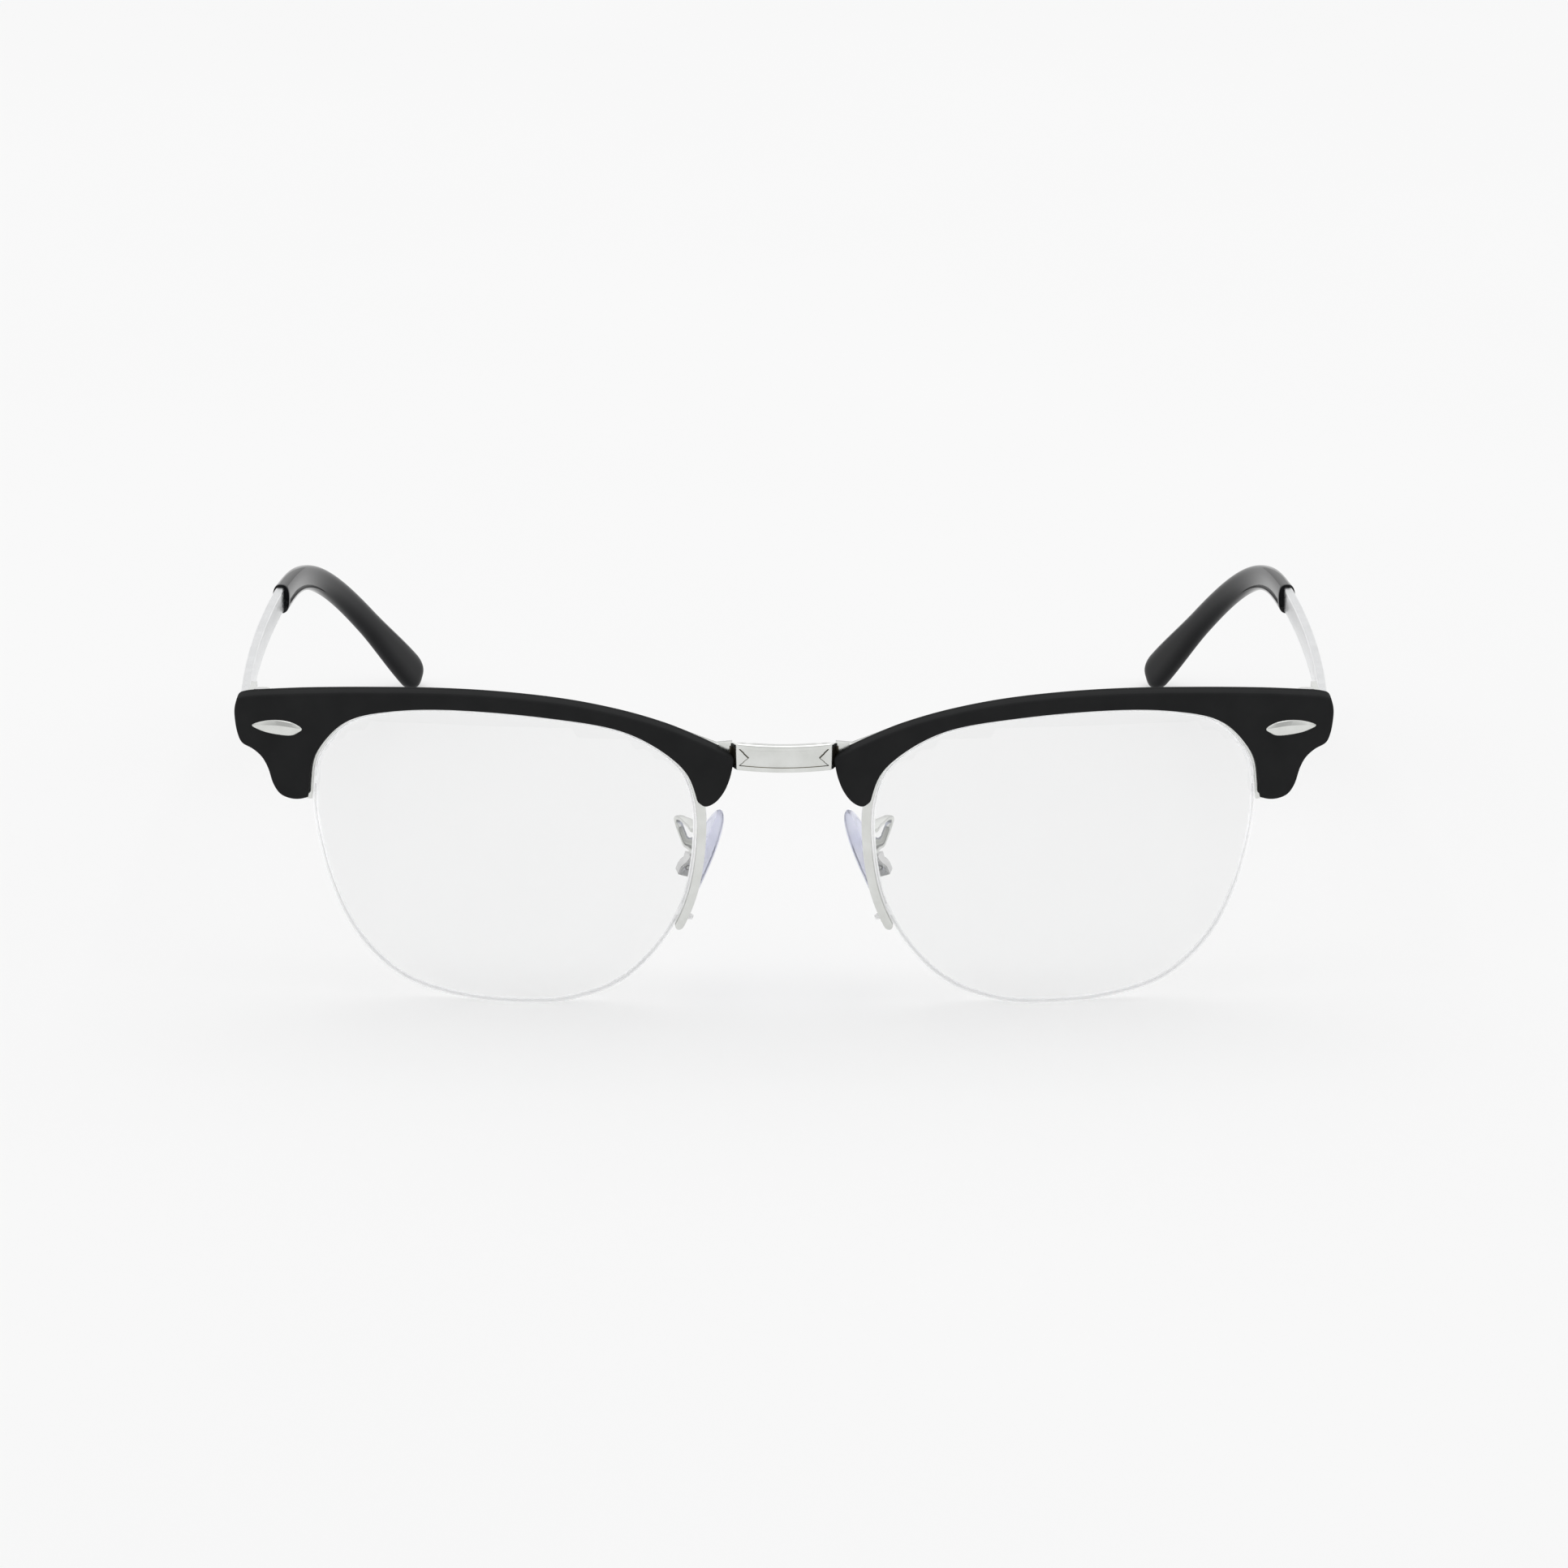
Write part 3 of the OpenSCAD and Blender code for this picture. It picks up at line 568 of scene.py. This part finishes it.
def rivet_shape():
    """A lozenge with a ridge along it, above its middle."""
    loop = smooth_loop(RIVET_POINTS, 12)
    upper = loop[loop[:, 1] > 0.0]
    lower = loop[loop[:, 1] <= 0.0]
    upper = upper[np.argsort(upper[:, 0])]
    lower = lower[np.argsort(lower[:, 0])]
    reach = 3.28  # just short of its two points
    rings = []
    for x in reach * np.sin(np.linspace(-math.pi / 2, math.pi / 2, 33)):
        top = np.interp(x, upper[:, 0], upper[:, 1])
        bottom = np.interp(x, lower[:, 0], lower[:, 1])
        width = top - bottom
        ridge = bottom + 0.66 * width
        rise = min(1.0, width / 1.2)  # it stands lower where it is narrow
        bevel = 0.09 * rise
        section = [
            (bottom, 0.1), (bottom, -0.16 * rise), (bottom + bevel, -0.23 * rise),
            (ridge, -0.42 * rise), (top - bevel, -0.2 * rise), (top, -0.12 * rise), (top, 0.1),
        ]
        spots = [(x + RIVET_CENTRE[0], z + RIVET_CENTRE[1]) for z, _ in section]
        ring = on_layer(placed(spots), RIVET_REST)
        ring[:, 1] += [back for _, back in section]
        rings.append(ring)
    return skin(rings)


# ---- bridge ----
def bridge_line():
    """The line of the bar's face, seen from above: bowed, then back behind the brow bars."""
    bowed = np.linspace(0, BRIDGE_FACE_END, 7)
    plan = [(x, BRIDGE_END_Y - BRIDGE_BOW * (1 - (x / BRIDGE_BAR_END) ** 2)) for x in bowed]
    plan += [(x, BRIDGE_END_Y + back) for x, back in BRIDGE_TAIL]
    half = even(smooth_path(plan, 12), 0.07)
    line = np.concatenate([half[:0:-1] * [-1, 1], half])
    return line + [0, FRONT_Y]


def bridge_sink(x, z):
    """How far the bridge's face lies behind its line, x from the middle and z above its axis."""
    edge = max(0.0, abs(z) / BRIDGE_HALF_TALL - 0.88) / 0.12
    rounding = 0.22 * edge**2
    if x > FACET_END or abs(z) >= BAND_HALF_TALL:
        return rounding
    notch = BAND_HALF_TALL * np.clip((x - FACET_START) / (FACET_END - FACET_START), 0, 1)
    if abs(z) < notch:
        return FACET_SINK
    return BAND_SINK + BAND_HOLLOW * (1 - (z / BAND_HALF_TALL) ** 2)


def bridge_bar():
    """The bowed bar with its sunk band, and how far behind its line each of its points lies."""
    mid_z = LENS_Z + BRIDGE_RISE
    line = bridge_line()
    along = np.gradient(line, axis=0)
    along /= np.linalg.norm(along, axis=1)[:, None]
    out = np.stack([along[:, 1], -along[:, 0]], axis=1)
    heights = np.linspace(-BRIDGE_HALF_TALL, BRIDGE_HALF_TALL, 61)
    rear_half_tall = BRIDGE_HALF_TALL - 0.3
    rings, sinks = [], []
    for (x, y), (out_x, out_y) in zip(line, out):
        sink = [bridge_sink(abs(x), z) for z in heights]
        front = [(x - out_x * s, y - out_y * s, mid_z + z) for s, z in zip(sink, heights)]
        depth = BRIDGE_THICK if abs(x) < BRIDGE_BAR_END else BRIDGE_TAIL_THICK
        rear = [(x - out_x * depth, y - out_y * depth, mid_z + side * rear_half_tall) for side in (1, -1)]
        rings.append(front + rear)
        sinks += sink + [0, 0]
    verts, faces = skin(rings)
    top = mid_z + BRIDGE_HALF_TALL
    verts = [(x, y, min(z, top - SHOULDER_FALL * (y - FRONT_Y - SHOULDER_Y))) for x, y, z in verts]
    return verts, faces, sinks


def bridge_shape():
    """The bar and its two plates, with the band's steep walls and turned ends as the first faces, to be
    painted dark as shade.
    """
    verts, faces, sinks = bridge_bar()
    steep = 0.08  # a face that falls back by more than this is a wall
    # The band's steep walls and the turned ends get painted shade: dark metal in place of the shade in
    # these creases.
    painted_shade_faces, rest = [], []
    for face in faces:
        x, _, z = np.mean([verts[i] for i in face], axis=0)
        height = abs(z - LENS_Z - BRIDGE_RISE)
        depths = [sinks[i] for i in face]
        is_wall = len(face) == 4 and height < BAND_HALF_TALL + 0.05 and max(depths) - min(depths) > steep
        is_turned = BRIDGE_FACE_END + 0.3 < abs(x) < 7 and height < BAND_HALF_TALL
        (painted_shade_faces if is_wall or is_turned else rest).append(face)
    bar = verts, painted_shade_faces + rest
    plates = plate(placed(PLATE_POINTS)[::-1], rounded_edge(0.1, PLATE_FRONT, RIM_BACK, 2), 1.5)
    return *joined(bar, plates, mirrored(plates)), len(painted_shade_faces)


# ---- nose pads and their arms ----
def pad_frame():
    """The pad's middle, and its directions: outward from the nose, back across it, and up along it."""
    turn = Matrix.Rotation(-PAD_SPLAY, 3, "Z") @ Matrix.Rotation(-PAD_TILT, 3, "Y")
    out, across, up = (np.array(turn.col[k]) for k in range(3))
    middle = PAD_SCREW + (PAD_MIDDLE_OUT - PAD_PIVOT_OUT) * out - PAD_PIVOT_UP * up
    return middle, out, across, up


def pad_shape():
    """A soft oval pad with a full, rounded edge."""
    middle, out, across, up = pad_frame()
    outline = oval(PAD_WIDE, PAD_TALL, 2.3, 56)
    steps = 20
    rings = []
    for k in range(1, steps):
        a = math.pi * k / steps
        reach = math.sin(a) ** 0.55
        layer = middle - out * PAD_HALF_THICK * math.cos(a)
        rings.append([layer + across * u * reach + up * v * reach for u, v in outline])
    return skin(rings)


def pad_arm_shape():
    """A flattened wire from the half rim, back and round to the pad box."""
    points = [  # x, back from FRONT_Y, and height
        (11.7, 2.1, 23.9), (12.4, 4.4, 24.0), (13.2, 6.6, 24.0), (13.85, 8.3, 23.5),
        (13.7, 8.9, 22.4), (13.15, 8.6, 20.9), (12.55, 8.1, 19.4), (12.4, 7.85, 18.3),
    ]
    line = even(smooth_path(points, 10), 0.18) + [0, FRONT_Y, 0]
    along = np.gradient(line, axis=0)
    along /= np.linalg.norm(along, axis=1)[:, None]
    flat = np.cross([3.0, 7.0, 0.0], [-0.4, -1.0, -6.0])  # across both of its straight runs
    flat /= np.linalg.norm(flat)
    section = oval(PAD_ARM_WIDE, PAD_ARM_THICK, 3.0, 20)
    rings = []
    for p, t in zip(line, along):
        wide = flat - t * np.dot(flat, t)
        wide /= np.linalg.norm(wide)
        thin = np.cross(t, wide)
        rings.append([p + u * wide + v * thin for u, v in section])
    return skin(rings)


# ---- temples ----
def temple_heading(s):
    """How far outward the temple heads, s behind its hinge pin."""
    return BOW_OUT - BOW_TURN * s / TEMPLE_LENGTH


def temple_spot(s):
    """The middle of the metal temple, s behind its hinge pin."""
    radius = TEMPLE_LENGTH / BOW_TURN
    x = TEMPLE_X + radius * (math.cos(temple_heading(s)) - math.cos(BOW_OUT))
    back = radius * (math.sin(BOW_OUT) - math.sin(temple_heading(s)))
    return np.array([x, HINGE[1] + back, TEMPLE_Z - back * math.tan(TEMPLE_SLOPE)])


def temple_shape():
    """A flat bar that bows a little and gets slimmer towards the back."""
    length = TEMPLE_LENGTH - SLEEVE_LAP + CORE_INSIDE
    up = np.array([0, 0, 1])
    rings = []
    for s in np.linspace(TEMPLE_START, length, 60):
        heading = temple_heading(s)
        out = np.array([math.cos(heading), -math.sin(heading), 0])
        tall = TEMPLE_TALL + (TEMPLE_END_TALL - TEMPLE_TALL) * s / TEMPLE_LENGTH
        middle = temple_spot(s) + CORE_ASIDE * max(s / length, 0) ** 2 * out
        section = rounded_rect(TEMPLE_THICK, tall, TEMPLE_CORNER)
        rings.append([middle + u * out + v * up for u, v in section])
    return skin(rings)


def bend_line():
    """The runs along a tip, behind the start of its bend, with the angle turned and the place at each.

    The place is back and down from the start. The bend begins gently, and the whole line ends
    where an abrupt bend would.
    """
    runs = np.linspace(-SLEEVE_LAP, BEND_ARC + TIP_END + 1, 400)
    rising = np.clip((runs + BEND_EASE) / (2 * BEND_EASE), 0, 1)
    falling = np.clip((BEND_ARC + END_EASE - runs) / (2 * END_EASE), 0, 1)
    gentle = np.minimum(rising, falling)
    abrupt = (runs > 0) * (runs < BEND_ARC)
    step = runs[1] - runs[0]
    lines = []
    for bent in (gentle, abrupt):
        turned = np.cumsum(bent) * step / BEND_RADIUS
        turned *= BEND_ANGLE / turned[-1]
        ways = np.stack([np.cos(turned), -np.sin(turned)], axis=1) * step
        lines.append((turned, np.cumsum(ways, axis=0) - [SLEEVE_LAP, 0]))
    (turned, spots), (_, target) = lines
    share = np.linspace(0, 1, len(runs))[:, None]
    return runs, turned, spots + (3 - 2 * share) * share**2 * (target[-1] - spots[-1])


def tip_place(run):
    """The middle of a tip and its directions (thick, along, tall), run behind the start of the bend."""
    heading = -temple_heading(TEMPLE_LENGTH)
    level = Matrix.Rotation(heading, 3, "Z") @ Matrix.Rotation(-TEMPLE_SLOPE, 3, "X")
    rolled = level @ Matrix.Rotation(BEND_ROLL, 3, "Y")
    runs, turned, spots = BEND_LINE
    back, down = (np.interp(run, runs, spots[:, k]) for k in range(2))
    here = Vector(temple_spot(TEMPLE_LENGTH)) + rolled @ Vector((0, back, down))
    turn = Matrix.Rotation(-np.interp(run, runs, turned), 3, "X")
    facing = rolled @ turn @ Matrix.Rotation(-BEND_ROLL, 3, "Y")
    return np.array(here), facing


def tip_ring(run, thick, tall, power):
    """One section of a tip."""
    here, facing = tip_place(run)
    side, up = np.array(facing.col[0]), np.array(facing.col[2])
    return [here + u * side + v * up for u, v in oval(thick, tall, power)]


def mouth_ring(back, thick, tall, aside):
    """One section of a tip's mouth, which is cut aslant so that its top lies further back."""
    spots = []
    for u, v in oval(thick, tall, SLEEVE_POWER):
        slant = MOUTH_SLANT * (1 + u / TIP_THICK + v / TIP_TALL)
        here, facing = tip_place(-SLEEVE_LAP + slant + back)
        spots.append(here + (u + aside) * np.array(facing.col[0]) + v * np.array(facing.col[2]))
    return spots


def tip_mouth():
    """The rings from inside a tip's mouth, round its lip to the outside."""
    core_thick, core_tall = TEMPLE_THICK + CORE_FIT, TEMPLE_END_TALL + CORE_FIT
    sections = [
        (3.0, core_thick, core_tall, CORE_ASIDE),
        (0.1, core_thick, core_tall, CORE_ASIDE),
        (0.0, core_thick + 0.1, core_tall + 0.1, CORE_ASIDE),
        (0.0, TIP_THICK - 0.3, TIP_TALL - 0.3, 0.0),
        (0.06, TIP_THICK - 0.08, TIP_TALL - 0.08, 0.0),
        (0.25, TIP_THICK, TIP_TALL, 0.0),
    ]
    return [mouth_ring(*section) for section in sections]


def tip_bend():
    """The rings of a tip's sleeve and bend, a little slimmer in their middle."""
    start = -SLEEVE_LAP + MOUTH_SLANT * 2.4
    rings = []
    for run in np.linspace(start, BEND_ARC, 70):
        share = (run - start) / (BEND_ARC - start)
        tall = TIP_TALL - TIP_WAIST * math.sin(math.pi * share)
        rings.append(tip_ring(run, TIP_THICK, tall, SLEEVE_POWER + (TIP_POWER - SLEEVE_POWER) * share))
    return rings


def tip_paddle():
    """The rings of a tip's flared flat end."""
    flank = TIP_END - PADDLE_TALL / 2
    flank_steps, end_steps = 24, 14
    rings = []
    for t in np.arange(1, flank_steps + 1) / flank_steps:
        ease = (3 - 2 * t) * t * t
        thick = TIP_THICK + (PADDLE_THICK - TIP_THICK) * ease
        tall = TIP_TALL + (PADDLE_TALL - TIP_TALL) * ease
        power = TIP_POWER + (PADDLE_POWER - TIP_POWER) * ease
        rings.append(tip_ring(BEND_ARC + flank * t, thick, tall, power))
    for k in range(1, end_steps + 1):
        a = math.pi / 2 * k / (end_steps + 0.5)
        reach = (PADDLE_TALL / 2 + 0.1) * math.sin(a)
        thick = PADDLE_THICK * max(1 - math.sin(a) ** 6, 0.05) ** 0.5
        tall = PADDLE_TALL * math.cos(a) ** 0.75
        rings.append(tip_ring(BEND_ARC + flank + reach, thick, tall, PADDLE_POWER))
    return rings


def tip_shape():
    """A moulded tip: a mouth round the metal, a long bend over the ear, and a flared flat end."""
    return skin(tip_mouth() + tip_bend() + tip_paddle())


BEND_LINE = bend_line()


# ---- materials ----
def new_material(name):
    """A new material, with its node tree and its Principled shader."""
    made = bpy.data.materials.new(name)
    made.use_nodes = True
    return made, made.node_tree, made.node_tree.nodes["Principled BSDF"]


def noise(tree, scale, detail, stretch=(1, 1, 1)):
    """Noise in the object's own space, with so many waves in a metre."""
    place = tree.nodes.new("ShaderNodeTexCoord")
    fit = tree.nodes.new("ShaderNodeMapping")
    fit.inputs["Scale"].default_value = stretch
    made = tree.nodes.new("ShaderNodeTexNoise")
    made.inputs["Scale"].default_value = scale
    made.inputs["Detail"].default_value = detail
    tree.links.new(place.outputs["Object"], fit.inputs["Vector"])
    tree.links.new(fit.outputs["Vector"], made.inputs["Vector"])
    return made.outputs["Fac"]


def ramp(tree, value, span, result):
    """A value that runs over a span, as one that runs over the result."""
    made = tree.nodes.new("ShaderNodeMapRange")
    for name, number in zip(("From Min", "From Max", "To Min", "To Max"), (*span, *result)):
        made.inputs[name].default_value = number
    tree.links.new(value, made.inputs["Value"])
    return made.outputs["Result"]


def product(tree, a, b):
    """Two values multiplied."""
    made = tree.nodes.new("ShaderNodeMath")
    made.operation = "MULTIPLY"
    tree.links.new(a, made.inputs[0])
    tree.links.new(b, made.inputs[1])
    return made.outputs["Value"]


def tint(tree, shader, value, dark, light):
    """Gives a shader a colour that runs from dark to light with a noise value."""
    made = tree.nodes.new("ShaderNodeValToRGB")
    made.color_ramp.elements[0].position = 0.3
    made.color_ramp.elements[0].color = (*dark, 1)
    made.color_ramp.elements[1].position = 0.7
    made.color_ramp.elements[1].color = (*light, 1)
    tree.links.new(value, made.inputs["Fac"])
    tree.links.new(made.outputs["Color"], shader.inputs["Base Color"])


def roughen(tree, shader, value, smooth, rough):
    """Gives a shader a roughness that runs from smooth to rough with a noise value."""
    tree.links.new(ramp(tree, value, (0.25, 0.75), (smooth, rough)), shader.inputs["Roughness"])


def bumped(tree, shader, value, depth, strength):
    """Lets a surface stand up and down with a value, by a depth in millimetres."""
    made = tree.nodes.new("ShaderNodeBump")
    made.inputs["Strength"].default_value = strength
    made.inputs["Distance"].default_value = depth * MM
    tree.links.new(value, made.inputs["Height"])
    tree.links.new(made.outputs["Normal"], shader.inputs["Normal"])


def matte_acetate():
    """Black acetate with a tumbled, softly grained face."""
    made, tree, shader = new_material("matte_acetate")
    clouds = noise(tree, 260, 5)
    grain = noise(tree, 9000, 3)
    tint(tree, shader, clouds, (0.022, 0.0225, 0.023), (0.026, 0.0265, 0.027))
    roughen(tree, shader, clouds, 0.56, 0.64)
    shader.inputs["Specular IOR Level"].default_value = 0.008
    bumped(tree, shader, grain, 0.004, 0.5)
    return made


def silver(name, dark, light, smooth, rough, stretch):
    """Plated nickel alloy or steel with a fine directional polish."""
    made, tree, shader = new_material(name)
    clouds = noise(tree, 300, 4)
    polish = noise(tree, 2500, 4, stretch)
    tint(tree, shader, clouds, dark, light)
    roughen(tree, shader, polish, smooth, rough)
    shader.inputs["Metallic"].default_value = 1.0
    bumped(tree, shader, polish, 0.0015, 0.4)
    return made


def glossy_black():
    """Moulded black plastic with a deep gloss, faintly uneven as it came from the mould."""
    made, tree, shader = new_material("glossy_black")
    clouds = noise(tree, 180, 3)
    haze = noise(tree, 1500, 5)
    tint(tree, shader, clouds, (0.003, 0.0033, 0.004), (0.005, 0.0055, 0.007))
    roughen(tree, shader, haze, 0.03, 0.06)
    shader.inputs["IOR"].default_value = 1.27
    bumped(tree, shader, clouds, 0.02, 0.25)
    return made


def clear_lens():
    """Clear lens plastic, with the faintest unevenness of a polished surface."""
    made, tree, shader = new_material("clear_lens")
    film = noise(tree, 90, 4)
    tint(tree, shader, film, (0.934, 0.936, 0.936), (0.94, 0.942, 0.942))
    roughen(tree, shader, film, 0.0, 0.012)
    shader.inputs["Transmission Weight"].default_value = 1.0
    shader.inputs["IOR"].default_value = 1.5
    return made


def ground_edge_painted_glow():
    """The ground edge of a lens, pale as it really is and scattering light, with a painted glow that makes
    it brighter high up, and denser high up.
    """
    made, tree, shader = new_material("ground_edge_painted_glow")
    grit = noise(tree, 1800, 4)
    tint(tree, shader, grit, (0.93, 0.94, 0.95), (0.98, 0.98, 0.98))
    roughen(tree, shader, grit, 0.6, 0.8)
    place = tree.nodes.new("ShaderNodeTexCoord")
    parts = tree.nodes.new("ShaderNodeSeparateXYZ")
    tree.links.new(place.outputs["Object"], parts.inputs["Vector"])
    height = parts.outputs["Z"]
    rising = (3 * MM, 24 * MM)
    # Painted light: the edge glows, more strongly high up, in place of the light it would catch through the
    # lens.
    shader.inputs["Emission Color"].default_value = (1, 1, 1, 1)
    tree.links.new(ramp(tree, height, rising, (0.12, 0.38)), shader.inputs["Emission Strength"])
    tree.links.new(ramp(tree, height, rising, (0.4, 0.75)), shader.inputs["Alpha"])
    return made


def nylon():
    """Drawn nylon, milky clear."""
    made, tree, shader = new_material("nylon")
    haze = noise(tree, 900, 4)
    tint(tree, shader, haze, (0.95, 0.955, 0.965), (0.99, 0.99, 0.99))
    roughen(tree, shader, haze, 0.2, 0.35)
    shader.inputs["Alpha"].default_value = 0.5
    shader.inputs["IOR"].default_value = 1.45
    return made


def silicone():
    """Clear moulded silicone with a faint blue cast."""
    made, tree, shader = new_material("silicone")
    haze = noise(tree, 500, 4)
    tint(tree, shader, haze, (0.80, 0.82, 0.965), (0.89, 0.90, 0.985))
    roughen(tree, shader, haze, 0.06, 0.12)
    shader.inputs["Transmission Weight"].default_value = 0.8
    shader.inputs["IOR"].default_value = 1.2
    bumped(tree, shader, haze, 0.01, 0.3)
    return made


def pale_floor():
    """A pale, even surface that glows a little, as a light table does, so that shadows stay faint."""
    made, tree, shader = new_material("pale_floor")
    clouds = noise(tree, 6, 4)
    tint(tree, shader, clouds, (0.52, 0.52, 0.52), (0.53, 0.53, 0.53))
    roughen(tree, shader, clouds, 0.85, 0.95)
    shader.inputs["Specular IOR Level"].default_value = 0.0
    shader.inputs["Emission Color"].default_value = (1, 1, 1, 1)
    shader.inputs["Emission Strength"].default_value = 0.4
    return made


# ---- studio ----
CAMERA_AWAY = 800.0
CAMERA_RISE = math.radians(18.7)
CAMERA_LENS = 143.2
TARGET_Z = 30.75  # the height it looks at, on the lenses' plane
FLOOR_HALF = 8.0  # in metres, as the lamp's sizes are


def add_camera():
    """The camera, at the height from which the pair is looked down on."""
    camera = bpy.data.objects.new("camera", bpy.data.cameras.new("camera"))
    camera.data.lens = CAMERA_LENS
    camera.data.sensor_width = 36
    camera.data.clip_start = 0.01
    away = Vector((0, -math.cos(CAMERA_RISE), math.sin(CAMERA_RISE)))
    target = Vector((0, FRONT_Y, TARGET_Z))
    camera.location = (target + away * CAMERA_AWAY) * MM
    camera.rotation_euler = (-away).to_track_quat("-Z", "Y").to_euler()
    bpy.context.scene.collection.objects.link(camera)
    bpy.context.scene.camera = camera


def add_floor():
    """A wide pale floor at the height on which the pair stands."""
    corner_signs = [(-1, -1), (1, -1), (1, 1), (-1, 1)]
    mesh = bpy.data.meshes.new("floor")
    mesh.from_pydata([(x * FLOOR_HALF, y * FLOOR_HALF, 0) for x, y in corner_signs], [], [(0, 1, 2, 3)])
    mesh.materials.append(pale_floor())
    floor = bpy.data.objects.new("floor", mesh)
    bpy.context.scene.collection.objects.link(floor)


def add_softbox(name, place, aim, size, power):
    """A large square lamp, with its place, aim and size in metres."""
    lamp = bpy.data.lights.new(name, "AREA")
    lamp.size = size
    lamp.energy = power
    box = bpy.data.objects.new(name, lamp)
    box.location = place
    box.rotation_euler = (Vector(aim) - Vector(place)).to_track_quat("-Z", "Y").to_euler()
    bpy.context.scene.collection.objects.link(box)


def add_sky():
    """A white tent round the pair, darker in front and far aside, so that metal has something to show."""
    world = bpy.data.worlds.new("tent")
    world.use_nodes = True
    tree = world.node_tree
    ground = tree.nodes["Background"]
    ground.inputs["Color"].default_value = (1, 1, 1, 1)
    place = tree.nodes.new("ShaderNodeTexCoord")
    parts = tree.nodes.new("ShaderNodeSeparateXYZ")
    tree.links.new(place.outputs["Generated"], parts.inputs["Vector"])
    aside = tree.nodes.new("ShaderNodeMath")
    aside.operation = "ABSOLUTE"
    tree.links.new(parts.outputs["X"], aside.inputs[0])
    height = ramp(tree, parts.outputs["Z"], (0.0, 0.5), (0.66, 1.1))
    depth = ramp(tree, parts.outputs["Y"], (-0.9, 0.1), (0.32, 1.0))
    sides = ramp(tree, aside.outputs["Value"], (0.8, 0.97), (1.0, 0.25))
    tree.links.new(product(tree, product(tree, height, depth), sides), ground.inputs["Strength"])
    bpy.context.scene.world = world


# ---- putting it together ----
def soften(node, width):
    """Gives a CAD node's edges a small bevel, so that they catch the light."""
    piece = frame["nodes"][node]
    weld = piece.modifiers.new("weld", "WELD")
    weld.merge_threshold = 0.001 * MM
    bevel = piece.modifiers.new("bevel", "BEVEL")
    bevel.width = width * MM
    bevel.segments = 2
    bevel.limit_method = "ANGLE"
    bevel.angle_limit = math.radians(35)


def paint(node, made):
    """Gives a CAD node a material."""
    piece = frame["nodes"][node]
    piece.data.materials.clear()
    piece.data.materials.append(made)


def add_pieces(metal, cord):
    """The mesh pieces, each in place of its CAD node."""
    temple_metal = silver("silver_temple", (0.86, 0.87, 0.88), (0.94, 0.95, 0.96), 0.18, 0.28, (6, 0.15, 6))
    # Dark metal for the bridge's band walls and turned ends: painted shade in those creases, not the
    # metal's own colour.
    painted_shade_metal = silver("silver_painted_shade", (0.12, 0.11, 0.08), (0.22, 0.2, 0.15), 0.3, 0.45, (1, 1, 1))
    lenses = both_sides("lens", lens_shape(), clear_lens(), "front", second=ground_edge_painted_glow())
    for lens in lenses:
        lens.visible_shadow = False
    both_sides("rim", rim_shape(), metal, "front")
    both_sides("nylon_cord", cord_shape(), cord, "front")
    both_sides("brow", brow_shape(), matte_acetate(), "front")
    both_sides("brow_rivet", rivet_shape(), metal, "front", sharp=math.radians(16))
    both_sides("pad_arm", pad_arm_shape(), metal, "front")
    both_sides("nose_pad", pad_shape(), silicone(), "pad_SIDE")
    both_sides("temple", temple_shape(), temple_metal, "temple_SIDE_arm")
    both_sides("temple_tip", tip_shape(), glossy_black(), "temple_SIDE_arm")
    bridge = add_mesh("bridge_visual", bridge_shape(), metal, math.radians(24), painted_shade_metal)
    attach(bridge, "front")
    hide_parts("bridge")


def dress_nodes(metal, cord):
    """Materials and small bevels for the CAD nodes that stay as they are."""
    steel = silver("steel", (0.58, 0.58, 0.58), (0.72, 0.72, 0.72), 0.16, 0.3, (1, 6, 1))
    for side in ("left", "right"):
        for name in ("endpiece", "hinge_front", "hinge_leaf", "pad_insert"):
            paint(f"{name}_{side}", metal)
            soften(f"{name}_{side}", 0.1)
        for name in ("hinge_screw", "brow_screw", "pad_screw"):
            paint(f"{name}_{side}", steel)
            soften(f"{name}_{side}", 0.06)
        paint(f"pad_box_{side}", steel)
        soften(f"pad_box_{side}", 0.25)
        paint(f"rim_liner_{side}", cord)


def build():
    """The whole pair, with the two materials that its mesh pieces and CAD nodes share."""
    metal = silver("silver_front", (0.67, 0.68, 0.655), (0.76, 0.77, 0.75), 0.14, 0.24, (1, 1, 6))
    cord = nylon()
    add_pieces(metal, cord)
    dress_nodes(metal, cord)


bpy.context.scene.view_settings.view_transform = "Standard"
add_camera()
add_floor()
add_sky()
add_softbox("overhead", (0.0, 0.2, 1.5), (0, 0, 0), 1.6, 6.0)
build()
